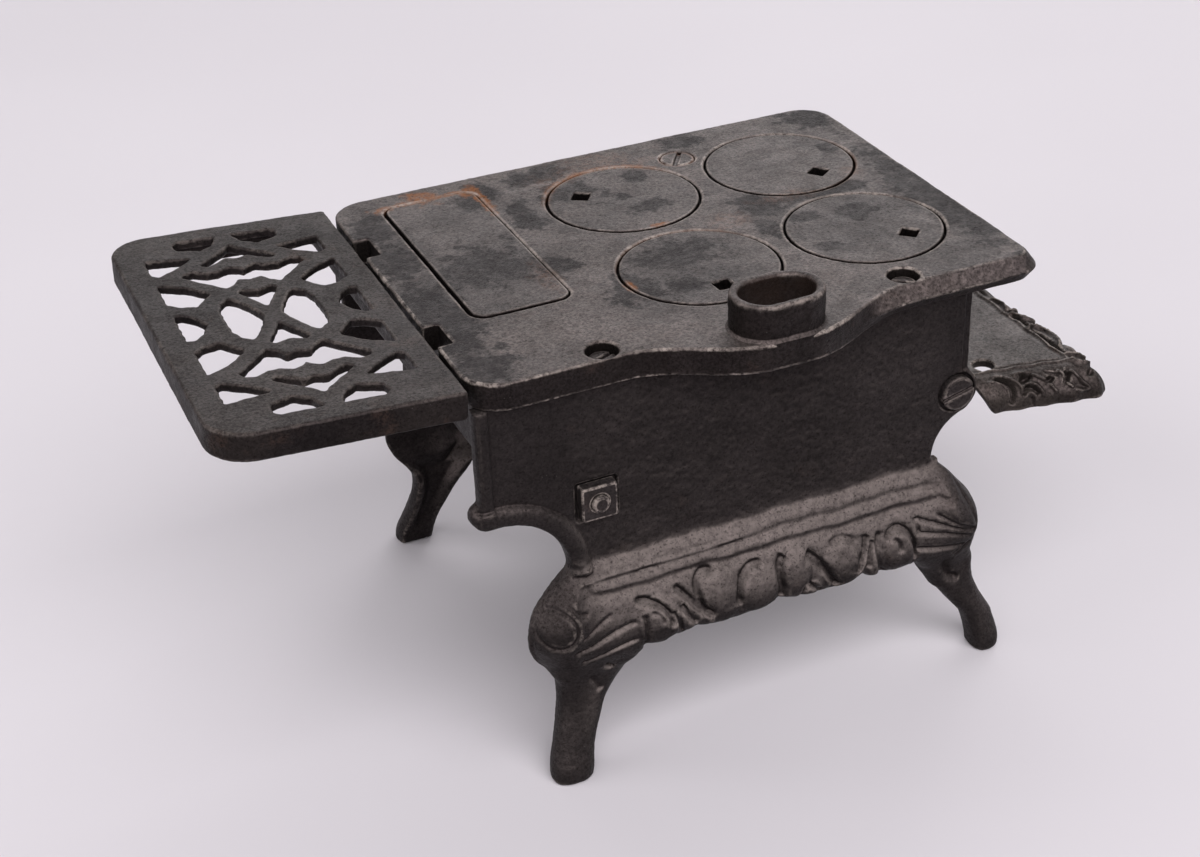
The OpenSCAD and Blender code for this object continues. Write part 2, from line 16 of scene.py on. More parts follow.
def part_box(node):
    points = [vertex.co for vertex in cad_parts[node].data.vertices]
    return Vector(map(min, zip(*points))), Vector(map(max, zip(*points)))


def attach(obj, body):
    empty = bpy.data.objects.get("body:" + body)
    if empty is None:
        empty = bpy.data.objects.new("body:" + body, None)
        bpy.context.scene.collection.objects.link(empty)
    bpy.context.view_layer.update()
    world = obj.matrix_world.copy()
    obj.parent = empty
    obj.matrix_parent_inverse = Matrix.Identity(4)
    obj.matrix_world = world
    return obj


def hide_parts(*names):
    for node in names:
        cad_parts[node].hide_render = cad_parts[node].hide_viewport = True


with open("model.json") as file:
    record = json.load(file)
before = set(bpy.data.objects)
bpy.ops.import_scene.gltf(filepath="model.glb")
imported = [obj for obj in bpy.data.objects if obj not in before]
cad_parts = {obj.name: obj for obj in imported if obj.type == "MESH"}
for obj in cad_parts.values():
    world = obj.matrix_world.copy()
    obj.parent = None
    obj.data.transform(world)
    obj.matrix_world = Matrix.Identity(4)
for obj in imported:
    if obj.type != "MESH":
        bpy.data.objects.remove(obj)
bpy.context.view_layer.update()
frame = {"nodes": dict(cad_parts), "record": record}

# ---------- sizes, in millimetres ----------

MM = 0.001
STOVE_H = 110.0
PLATE_L = 143.8
PLATE_D = 106.5
PLATE_T = 3.2
BAND_H = 7.0
BAND_W = 5.6
PLATE_R = 9.0
BULGE_OUT = 11.5
BULGE_X = -0.7
BULGE_FLAT = 5.0
BULGE_HALF = 36.0
HOLE_R = 20.0
LID_GAP = 0.5
LEDGE = 2.4
RECESS = 2.0
LIFTER = 4.4
LIFTER_OFF = 11.2
LID_TURNS = {
    "lid_front_right": (1.8, -22.0, -35.0),
    "lid_front_left": (-43.7, -22.0, 126.0),
    "lid_rear_right": (1.8, 22.0, 94.0),
    "lid_rear_left": (-43.7, 22.0, 136.0),
}
COVER_AT = (47.2, -11.6)
COVER_SHIFT = (-0.3, -0.3)
COVER_SIZE = (25.4, 68.2)
COVER_R = 4.0
COVER_LIES = (COVER_AT[0] + COVER_SHIFT[0], COVER_AT[1] + COVER_SHIFT[1])
COLLAR_AT = (-0.7, 56.0)
COLLAR_SIZE = (22.6, 16.0)
COLLAR_R = 7.9
COLLAR_H = 9.0
COLLAR_WALL = 2.2
NOTCH_Y = (25.0, -26.0)
SCREW_X = (39.6, -38.4)
SCREW_Y = 48.9
FRONT_BOLT = (-21.5, -38.3)
# Depths of the screw sockets and of the front bolt's seat, and how far the rear edge flares out.
SOCKET = 3.4
BOLT_SINK = 2.2
FLARE = 2.6
# Heights well below and well above the plate.
THROUGH = (90, 130)

PANEL_Y = 50.5
PANEL_T = 2.8
PANEL_IN = PANEL_Y - PANEL_T
PANEL_X = (-58.1, 71.7)
BAND_Z = STOVE_H - BAND_H
UNDER_Z = STOVE_H - PLATE_T
SKIRT_TOP = 55.0
BOLT_A = (43.1, 72.3)
BOLT_B = (-54.5, 74.4)
BOLT_R = 2.2
HEAD_R = 4.5
NUT = 9.0
OVEN_X = (-13.0, 26.0)
OVEN_Z = (60.8, 81.5)
FIRE_X = (-46.0, -27.0)
FIRE_Z = (83.0, 96.5)
ASH_Z = (57.8, 66.8)
HINGE_Y = 53.2
# Where the inner walls slot in behind the panels: middle and foot of each slot.
WALL_GROOVES = ((-55.4, 77), (62, 77), (-21, 57.6), (33, 57.6))

SHELF_L = 56.4
SHELF_W = 105.6
SHELF_TILT = math.radians(3.5)
SHELF_X = PLATE_L / 2 + 0.9
APRON_Z = 74.0
APRON_X = 96.6

plate_lo, plate_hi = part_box("top_plate")
MIDDLE = np.array([(plate_lo.x + plate_hi.x) / 2 / MM, plate_lo.y / MM + PLATE_D / 2, 0.0])
COARSE = 1.0


# ---------- distance fields ----------

class Lattice:
    """Evenly spaced points over a box, held as x, y and z arrays that broadcast together."""

    def __init__(self, low, high, step):
        self.step = step * COARSE
        self.low = np.array(low, float) - 4 * self.step
        counts = np.ceil((np.array(high) - self.low) / self.step).astype(int) + 5
        axes = [(self.low[i] + self.step * np.arange(counts[i])).astype(np.float32) for i in range(3)]
        self.x = axes[0][:, None, None]
        self.y = axes[1][None, :, None]
        self.z = axes[2][None, None, :]


def smooth_min(a, b, k):
    """Union of two fields with a fillet of about k."""
    h = np.maximum(k - np.abs(a - b), 0) / k
    return np.minimum(a, b) - h * h * k / 4


def smooth_max(a, b, k):
    """Overlap of two fields with an edge rounded by about k."""
    return -smooth_min(-a, -b, k)


def cut_out(a, b, k=0.3):
    return smooth_max(a, -b, k)


def ease(t):
    t = np.clip(t, 0, 1)
    return t * t * (3 - 2 * t)


def between(value, start, end):
    """0 at start, 1 at end, eased."""
    return ease((value - start) / (end - start))


def rectangle(a, b, low, high, r=0.0):
    qa = np.abs(a - (low[0] + high[0]) / 2) - (high[0] - low[0]) / 2 + r
    qb = np.abs(b - (low[1] + high[1]) / 2) - (high[1] - low[1]) / 2 + r
    return np.minimum(np.maximum(qa, qb), 0) + np.hypot(np.maximum(qa, 0), np.maximum(qb, 0)) - r


def centred(a, b, at, size, r):
    low = (at[0] - size[0] / 2, at[1] - size[1] / 2)
    return rectangle(a, b, low, (low[0] + size[0], low[1] + size[1]), r)


def disc(a, b, at, r):
    return np.hypot(a - at[0], b - at[1]) - r


def slab(outline, c, low, high, r=0.0):
    """An outline given height from low to high along c, with edges rounded by r."""
    rise = np.abs(c - (low + high) / 2) - (high - low) / 2 + r
    side = outline + r
    return np.minimum(np.maximum(side, rise), 0) + np.hypot(np.maximum(side, 0), np.maximum(rise, 0)) - r


def block(g, xs, ys, zs, r=0.0):
    return slab(rectangle(g.x, g.y, (xs[0], ys[0]), (xs[1], ys[1]), r), g.z, zs[0], zs[1], r)


def drill(f, outline, z, k=0.3):
    """Cuts an upright hole of the given outline."""
    return cut_out(f, slab(outline, z, *THROUGH), k)


def sink(f, outline, z, depth, k=0.3):
    """Cuts a recess of the given outline into the top of the plate."""
    return cut_out(f, slab(outline, z, STOVE_H - depth, STOVE_H + 5), k)


def spline(points, n=5):
    """Smooth curve through the points, n steps between neighbours."""
    p = np.array(points, float)
    p = np.vstack([p[0], p, p[-1]])
    out = []
    for i in range(1, len(p) - 2):
        for s in range(n):
            t = s / n
            a, b, c, d = p[i - 1:i + 3]
            out.append(0.5 * (2 * b + (c - a) * t + (2 * a - 5 * b + 4 * c - d) * t * t
                              + (3 * b - a - 3 * c + d) * t ** 3))
    return np.array(out + [p[-1]])


def polygon(points, a, b):
    """Signed distance from each (a, b) to a closed outline, negative inside."""
    shape = np.broadcast(a, b).shape
    nearest = np.full(shape, 1e9, np.float32)
    inside = np.zeros(shape, bool)
    for (x0, y0), (x1, y1) in zip(points, np.roll(points, -1, axis=0)):
        dx, dy = x1 - x0, y1 - y0
        t = np.clip(((a - x0) * dx + (b - y0) * dy) / max(dx * dx + dy * dy, 1e-9), 0, 1)
        nearest = np.minimum(nearest, (a - x0 - t * dx) ** 2 + (b - y0 - t * dy) ** 2)
        if y0 != y1:
            inside ^= ((y0 > b) != (y1 > b)) & (a < dx * (b - y0) / dy + x0)
    return np.where(inside, -1, 1) * np.sqrt(nearest)


def trace(points, a, b):
    """Distance to a smooth stroke, the share of its length at the nearest point, and which side."""
    line = spline(points)
    shape = np.broadcast(a, b).shape
    nearest = np.full(shape, 1e9, np.float32)
    along = np.zeros(shape, np.float32)
    side = np.zeros(shape, np.float32)
    for k, ((x0, y0), (x1, y1)) in enumerate(zip(line, line[1:])):
        dx, dy = x1 - x0, y1 - y0
        t = np.clip(((a - x0) * dx + (b - y0) * dy) / max(dx * dx + dy * dy, 1e-9), 0, 1)
        gap = (a - x0 - t * dx) ** 2 + (b - y0 - t * dy) ** 2
        closer = gap < nearest
        nearest = np.where(closer, gap, nearest)
        along = np.where(closer, (k + t) / (len(line) - 1), along)
        side = np.where(closer, dx * (b - y0) - dy * (a - x0), side)
    return np.sqrt(nearest), along, np.sign(side)


def groove(a, b, points, width=0.7, depth=0.8, lip=0.0, reach=3.0):
    """Height of a carved stroke that fades at its ends; lip raises the side on its left."""
    gap, along, side = trace(points, a, b)
    fade = ease(np.minimum(along, 1 - along) / 0.12)
    height = -depth * np.exp(-(gap / width) ** 2)
    if lip:
        height = height + lip * np.exp(-gap / reach) * between(side * gap, -width, width)
    return height * fade


def dome(a, b, at, size, turn=0.0, height=1.0):
    """Height of an oval swelling."""
    c, s = math.cos(math.radians(turn)), math.sin(math.radians(turn))
    u = ((a - at[0]) * c + (b - at[1]) * s) / size[0]
    v = (-(a - at[0]) * s + (b - at[1]) * c) / size[1]
    return height * np.sqrt(np.maximum(1 - u * u - v * v, 0))


# ---------- meshes ----------

CELLS = np.random.default_rng(7).random((4, 32, 32, 32)).astype(np.float32) * 2 - 1


def grain(points, size, layer=0):
    """Smooth random value between -1 and 1 at each point, with features of the given size."""
    q = points / size
    i = np.floor(q).astype(int)
    f = ease(q - i)
    i, j = i & 31, (i + 1) & 31
    out = 0
    for dx in (0, 1):
        for dy in (0, 1):
            for dz in (0, 1):
                weight = ((f[:, 0] if dx else 1 - f[:, 0]) * (f[:, 1] if dy else 1 - f[:, 1])
                          * (f[:, 2] if dz else 1 - f[:, 2]))
                cell = CELLS[layer, (j if dx else i)[:, 0], (j if dy else i)[:, 1], (j if dz else i)[:, 2]]
                out = out + weight * cell
    return out


def extract(g, field):
    """Points and quads of a field's surface."""
    volume = openvdb.FloatGrid()
    band = 3 * g.step
    volume.background = band
    volume.copyFromArray(np.clip(field, -band, band).astype(np.float32))
    points, quads = volume.convertToQuads()
    return g.low + points * g.step, quads


def make_mesh(name, parts, mirror=False):
    """Joins surfaces given as (points, quads) in the stove's axes into one object in the row frame."""
    points = np.concatenate([p for p, _ in parts])
    starts = np.cumsum([0] + [len(p) for p, _ in parts[:-1]])
    quads = np.concatenate([q + s for (_, q), s in zip(parts, starts)])
    if mirror:
        points = points * (1, -1, 1)
    a, b, c = (points[quads[:, k]] for k in (0, 1, 2))
    outward = np.einsum("ij,ij->i", a, np.cross(b, c)).sum() > 0
    if not outward:
        quads = quads[:, ::-1]
    mesh = bpy.data.meshes.new(name)
    mesh.vertices.add(len(points))
    mesh.loops.add(quads.size)
    mesh.polygons.add(len(quads))
    mesh.vertices.foreach_set("co", ((points + MIDDLE) * MM).astype(np.float32).ravel())
    mesh.loops.foreach_set("vertex_index", quads.astype(np.int32).ravel())
    mesh.polygons.foreach_set("loop_start", np.arange(0, quads.size, 4, dtype=np.int32))
    mesh.update(calc_edges=True)
    mesh.validate()
    obj = bpy.data.objects.new(name, mesh)
    bpy.context.scene.collection.objects.link(obj)
    mesh.polygons.foreach_set("use_smooth", np.ones(len(mesh.polygons), bool))
    return obj


def mark_edges(mesh, p, normal):
    """Stores on each vertex how sharply the surface bends outward there, per millimetre."""
    count = len(p)
    ends = np.empty(len(mesh.edges) * 2, np.int32)
    mesh.edges.foreach_get("vertices", ends)
    a, b = ends.reshape(-1, 2).T
    degree = np.maximum(np.bincount(a, minlength=count) + np.bincount(b, minlength=count), 1)

    def average(values):
        return (np.bincount(a, values[b], count) + np.bincount(b, values[a], count)) / degree

    length = np.linalg.norm(p[a] - p[b], axis=1).mean()
    mean = np.stack([average(p[:, k]) for k in range(3)], axis=1)
    bend = np.einsum("ij,ij->i", p - mean, normal) * 4 / length ** 2
    for _ in range(2):
        bend = 0.5 * bend + 0.5 * average(bend)
    mesh.attributes.new("edge", "FLOAT", "POINT").data.foreach_set("value", bend.astype(np.float32))


def weather(obj, swell, pits, extra):
    """Gives a surface the slow waviness and sandy grain of a small iron casting."""
    mesh = obj.data
    co = np.empty(len(mesh.vertices) * 3, np.float32)
    normal = np.empty_like(co)
    mesh.vertices.foreach_get("co", co)
    mesh.vertex_normals.foreach_get("vector", normal)
    p = co.reshape(-1, 3) / MM
    mark_edges(mesh, p, normal.reshape(-1, 3))
    push = swell * (grain(p, 11.0) + 0.5 * grain(p, 4.0, 1))
    push = push + pits * (grain(p, 1.1, 2) + 0.6 * grain(p, 0.6, 3))
    if extra is not None:
        push = push + extra(p - MIDDLE)
    p = p + normal.reshape(-1, 3) * push[:, None]
    mesh.vertices.foreach_set("co", (p * MM).astype(np.float32).ravel())
    mesh.update()
    return obj


def cast(name, parts, body, material, node, swell=0.08, pits=0.045, extra=None, mirror=False):
    """Joins surfaces into a weathered piece that rides a body and stands for a CAD node."""
    obj = weather(make_mesh(name, parts, mirror), swell, pits, extra)
    obj.data.materials.append(material)
    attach(obj, body)
    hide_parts(node)


# ---------- top plate, lids and cover ----------

def plate_outline(x, y):
    corner = np.where((x < 0) & (y > 0), 4.0, PLATE_R)
    body = centred(x, y, (0, 0), (PLATE_L, PLATE_D), corner)
    run = np.linspace(-BULGE_HALF, BULGE_HALF, 41)
    reach = BULGE_OUT * (1 - ease((np.abs(run) - BULGE_FLAT) / (BULGE_HALF - BULGE_FLAT)))
    edge = [(BULGE_X + s, PLATE_D / 2 + r) for s, r in zip(run, reach)]
    edge = [(BULGE_X - BULGE_HALF, PLATE_D / 2 - 12)] + edge + [(BULGE_X + BULGE_HALF, PLATE_D / 2 - 12)]
    return np.minimum(body, polygon(np.array(edge), x, y))


def build_top_plate(material):
    g = Lattice((-75, -54, BAND_Z), (73, 66, STOVE_H), 0.42)
    x, y, z = g.x, g.y, g.z
    outline = plate_outline(x, y)
    # towards the hearth end the rear edge flares out halfway down, rough above and smooth below
    flare = FLARE * between(x, -19, -33) * between(y, 40, 51)
    flare = flare * np.interp(z, (BAND_Z, BAND_Z + 3.2, STOVE_H - 0.3), (0.05, 1.0, 0.0))
    screws = [(sx, SCREW_Y) for sx in SCREW_X]
    hollow = slab(outline + BAND_W, z, BAND_Z - 6, UNDER_Z, 0.6)
    for at, r in [(FRONT_BOLT, 6.0)] + [(screw, 5.5) for screw in screws]:
        hollow = np.maximum(hollow, -slab(disc(x, y, at, r), z, BAND_Z, STOVE_H))
    f = cut_out(slab(outline - flare, z, BAND_Z, STOVE_H, 0.5), hollow, 0.5)
    openings = [disc(x, y, lid[:2], HOLE_R) for lid in LID_TURNS.values()]
    openings.append(centred(x, y, COVER_AT, COVER_SIZE, COVER_R))
    for opening in openings:
        f = sink(f, opening, z, RECESS, 0.8)
        f = drill(f, opening + LEDGE, z)
    f = drill(f, centred(x, y, COLLAR_AT, COLLAR_SIZE, COLLAR_R) + COLLAR_WALL - 0.5, z)
    for ny in NOTCH_Y:
        f = drill(f, centred(x, y, (PLATE_L / 2 + 0.5, ny), (9, 10), 0.5), z, 0.6)
    for screw in screws:
        f = sink(f, disc(x, y, screw, 3.9), z, SOCKET, 0.7)
    f = sink(f, disc(x, y, FRONT_BOLT, HEAD_R + 0.3), z, BOLT_SINK)
    plate = extract(g, f)

    cx, cy = COLLAR_AT
    g = Lattice((cx - 13, cy - 10, UNDER_Z), (cx + 13, cy + 10, 120), 0.24)
    collar = centred(g.x, g.y, COLLAR_AT, COLLAR_SIZE, COLLAR_R)
    foot = 0.9 * between(g.z, STOVE_H + 1.1, STOVE_H - 0.2)
    tube = slab(collar - foot * foot, g.z, UNDER_Z, STOVE_H + COLLAR_H, 0.9)
    tube = drill(tube, collar + COLLAR_WALL, g.z, 1.3)

    def collar_wear(p):
        x, y, z = p.T
        rise = between(z, STOVE_H + 1, STOVE_H + 5)
        rear = between(y, 51, 54) * between(x, -20, -34) * between(z, STOVE_H - 4.5, STOVE_H - 3)
        return rise * (0.16 * grain(p, 3.4, 0) + 0.08 * grain(p, 1.4, 1)) + 0.2 * rear * grain(p, 1.3, 2)

    parts = [plate, extract(g, tube)]
    cast("top_plate_casting", parts, "stove", material, "top_plate", extra=collar_wear)


def plug(shape, z):
    """A lid that fills a recess of the given shape and drops inside its ledge."""
    top = slab(shape + LID_GAP, z, STOVE_H - RECESS, STOVE_H, 0.35)
    return smooth_min(top, slab(shape + LEDGE + LID_GAP, z, UNDER_Z, STOVE_H - 0.5, 0.2), 0.3)


def build_lid(name, material):
    cx, cy, turn = LID_TURNS[name]
    g = Lattice((cx - HOLE_R, cy - HOLE_R, UNDER_Z), (cx + HOLE_R, cy + HOLE_R, STOVE_H), 0.3)
    c, s = math.cos(math.radians(turn)), math.sin(math.radians(turn))
    u = (g.x - cx) * c + (g.y - cy) * s
    v = -(g.x - cx) * s + (g.y - cy) * c
    f = plug(np.hypot(u, v) - HOLE_R, g.z)
    f = drill(f, centred(u, v, (LIFTER_OFF, 0), (LIFTER, LIFTER), 0.4), g.z, 0.5)
    cast(name + "_casting", [extract(g, f)], name, material, name, swell=0.05, pits=0.03)


def build_cover(material):
    half = (COVER_SIZE[0] / 2, COVER_SIZE[1] / 2)
    g = Lattice((COVER_AT[0] - half[0], COVER_AT[1] - half[1], UNDER_Z),
                (COVER_AT[0] + half[0], COVER_AT[1] + half[1], STOVE_H), 0.33)
    # the cover lies pushed into one corner of its opening
    f = plug(centred(g.x, g.y, COVER_LIES, COVER_SIZE, COVER_R), g.z)
    name = "reservoir_cover"
    cast(name + "_casting", [extract(g, f)], name, material, name, swell=0.06, pits=0.03)


# ---------- front and rear castings: panel, moulded skirt and legs ----------

# Outer face of the skirt as (height, reach): two beads, a cove and the bulging fascia.
SKIRT_PROFILE = [(57.5, 50.5), (55.4, 50.7), (54.4, 51.5), (53.2, 52.4), (52.2, 52.8), (51.5, 52.9),
                 (50.9, 53.3), (50.0, 54.2), (49.0, 54.7), (48.3, 54.7), (47.7, 54.9), (47.0, 55.5),
                 (46.0, 56.3), (43.0, 57.5), (40.0, 58.4), (36.0, 59.0), (33.0, 58.8), (30.0, 57.6)]
KNEE_PROFILE = [(58, 50.5), (56, 51.4), (52.5, 54), (47.5, 58.2), (42, 60), (34, 58.4), (26, 56.3),
                (19, 56.9), (12, 59.2), (6, 61.2), (2, 62.3), (-5, 62.6)]
BACK_PROFILE = [(58, 47.7), (52, 47.7), (46, 50), (38, 51.8), (30, 50), (22, 49.5), (12, 51.6), (3, 54.4),
                (-5, 55)]
LEG_OUTER = [(46, 57), (49.5, 55.6), (52.4, 53), (56.2, 48.8), (59.2, 44.8), (60.7, 40.4), (60.7, 36.6),
             (59.4, 32.4), (57.8, 28), (57.3, 23.6), (58.4, 16.5), (60.6, 9), (62.5, 3), (63, -5)]
LEG_INNER = [(52.8, -5), (51.6, 3), (50.2, 9), (47.6, 14.5), (45.6, 18.4), (43, 21.4), (39.6, 24.8),
             (37, 27.8), (35.2, 31)]
SCALLOP_MIDDLE = -0.7
SKIRT_EDGE = [(0, 34.4), (2.6, 33.4), (6, 32.7), (12.4, 32.1), (19.4, 32.3), (23.4, 33.7), (25.2, 32.6),
              (27.4, 32.2), (29, 32.8), (31.6, 31.8), (35.6, 32.3), (38, 31.5)]


def height_curve(profile, z):
    line = spline(profile)
    order = np.argsort(line[:, 0])
    return np.interp(z, line[order, 0], line[order, 1])


def cove_gap(x, z):
    """Distance into the panel from the large cove under the shelf end."""
    return np.minimum(disc(x, z, (68.2, SKIRT_TOP - 0.5), 17.5), rectangle(x, z, (68.2, 30), (110, 72)))


def panel_outline(x, z):
    f = rectangle(x, z, (PANEL_X[0], SKIRT_TOP - 6), (PANEL_X[1], BAND_Z))
    f = smooth_min(f, disc(x, z, BOLT_B, 6.2), 1.0)
    f = smooth_min(f, disc(x, z, (PANEL_X[1] - 0.6, 75.6), 3.0), 1.0)
    f = smooth_max(f, -cove_gap(x, z), 1.0)
    small = np.minimum(disc(x, z, (-60.5, 57), 12), rectangle(x, z, (-80.5, 40), (-60.5, 69)))
    return smooth_max(f, -small, 1.0)


# Swellings of the fascia: centre, half-sizes, tilt in degrees, height.
LOBES = [
    ((31.6, 38.4), (5.6, 6.6), 0, 1.3), ((14.8, 40), (5.4, 7.8), 8, 1), ((4.4, 39.2), (5.6, 6.4), 0, 1.2),
    ((-5.8, 40), (4.2, 7.2), 12, 1.1), ((-19, 38.8), (6.2, 6.6), 0, 1.2), ((-35, 37.8), (4.2, 6.4), 0, 1.3),
    ((24, 36.2), (1.8, 4.4), -25, 0.8), ((-27.6, 36.6), (1.9, 4.8), 10, 0.8),
    ((-9.8, 34.6), (2.8, 2.6), 0, 0.7),
]
# Carved strokes of the fascia and knees: points, width, depth, lip on the left of travel.
STROKES = [
    ([(37.2, 44.7), (34.4, 44.3), (31.2, 42.6), (29, 39.8), (28.5, 36.4)], 0.75, 1.7, 0.7),
    ([(35.4, 41.6), (35.2, 38), (35.3, 33)], 0.6, 1.1, 0),
    ([(33.6, 41.8), (31.6, 40.6), (30.8, 38.4)], 0.5, 0.5, 0),
    ([(26.8, 45.8), (24.2, 43), (21.6, 39.6), (19, 37), (16.8, 36.4)], 0.8, 1.8, 0.8),
    ([(25.6, 41.2), (24, 38), (21.8, 35)], 0.65, 1.4, 0.5),
    ([(28.2, 40.6), (26.6, 36.8), (25.6, 33.6)], 0.5, 0.9, 0.3),
    ([(15.2, 46.2), (18.4, 46.8), (20.5, 45.4), (20.7, 42), (19.6, 38.6), (17.4, 36.6)], 0.75, 1.6, -0.5),
    ([(2.8, 44.9), (5.8, 45.2), (8.4, 43.2), (9.8, 39.8), (9.9, 36.2)], 0.75, 1.3, -0.6),
    ([(-3.2, 45.4), (-1.9, 43.6), (-1.6, 40), (-1.9, 37.2), (-1.5, 34.6)], 0.75, 1.7, -0.7),
    ([(-8.4, 44.6), (-11.2, 42.4), (-13.6, 39.2), (-15.6, 35.8), (-17.4, 33.4)], 0.95, 2, -0.8),
    ([(-8.6, 37), (-7.6, 35.4), (-6.4, 33)], 0.55, 1.1, 0),
    ([(-8.6, 37), (-10.4, 35.2), (-12.6, 33.2)], 0.55, 1.1, 0),
    ([(-15.2, 44.4), (-18.4, 45.4), (-21.6, 44.2), (-23.4, 41), (-23.2, 37.4)], 0.8, 0.8, 0.4),
    ([(-26.2, 44.6), (-24.8, 40), (-22.8, 35.2)], 0.65, 1.3, -0.4),
    ([(-29.6, 44.6), (-28.6, 40.2), (-29.2, 35), (-30.6, 33)], 0.7, 1.3, 0.4),
    ([(-27.4, 43), (-26.4, 39.4), (-26, 36)], 0.45, 0.8, 0),
    ([(-31.6, 41.2), (-32.8, 43.4), (-35.2, 44), (-37.6, 42), (-39, 38.4), (-39.3, 33.6)], 0.75, 1.8, 0.8),
    ([(-33, 42.2), (-34.4, 40.6), (-34.6, 38.2)], 0.6, 0.8, 0),
    ([(37, 40.2), (43.6, 38.8), (49, 37), (54.4, 36)], 0.5, 0.8, -0.25),
    ([(36.8, 35.6), (42.2, 34.8), (48.4, 33.2), (52.4, 32.6)], 0.5, 0.7, -0.2),
    ([(43, 43.6), (47.6, 41.8), (52.2, 39.6)], 0.5, 0.5, 0),
    ([(54, 48.6), (52, 46.4), (49.2, 45.4)], 0.6, 0.8, 0.3),
    ([(45.8, 29.6), (44.6, 28.6), (43.4, 28)], 0.7, 1.7, 0),
    ([(49.2, 26.4), (47.6, 23.8), (46.8, 21.6)], 0.9, 0.7, 0),
    ([(-40, 45), (-47.8, 41.4), (-57.2, 37.7)], 0.48, 0.9, 0.2),
    ([(-39.8, 41.4), (-47.2, 39.2), (-56.6, 36.4)], 0.48, 0.8, 0.2),
    ([(-39.8, 37.2), (-46.2, 35.4), (-54.4, 33.8)], 0.55, 0.9, 0.25),
    ([(-46.4, 44.6), (-51, 41.6), (-57.4, 38.2)], 0.42, 0.8, 0.15),
    ([(-40, 45.2), (-40.6, 43.2), (-40.9, 41.2)], 0.5, 0.8, 0),
    ([(-53.4, 51.6), (-55.8, 45), (-57.6, 39)], 0.6, 0.7, 0),
    ([(-47.4, 48.4), (-50.2, 47.4), (-53, 48.6)], 0.6, 0.6, 0.4),
    ([(-49.6, 30), (-50.8, 26), (-52, 23.4), (-54.8, 22)], 1.1, 1.5, 0),
    ([(-51.4, 31), (-53.6, 32.4), (-56.4, 34.6)], 0.4, 0.6, 0),
    ([(-50.4, 32.2), (-52.4, 33), (-54.4, 34.4)], 0.4, 0.5, 0),
]
ROSETTE = (57.2, 43.2)


def scroll_relief(x, z):
    """Foliate scrolls of the fascia and the carved knees, as a height over the plain skirt."""
    h = np.zeros(np.broadcast(x, z).shape, np.float32)
    for at, size, turn, height in LOBES:
        h = np.maximum(h, dome(x, z, at, size, turn, height))
    h = h * between(z, 48.2, 45.2)
    for points, width, depth, lip in STROKES:
        h = h + groove(x, z, points, width, depth, lip, 2.2)
    ring = np.hypot(x - ROSETTE[0], z - ROSETTE[1])
    return h - 0.9 * np.exp(-((ring - 4.3) / 0.55) ** 2) - 0.5 * np.sqrt(np.maximum(1 - (ring / 3.9) ** 2, 0))


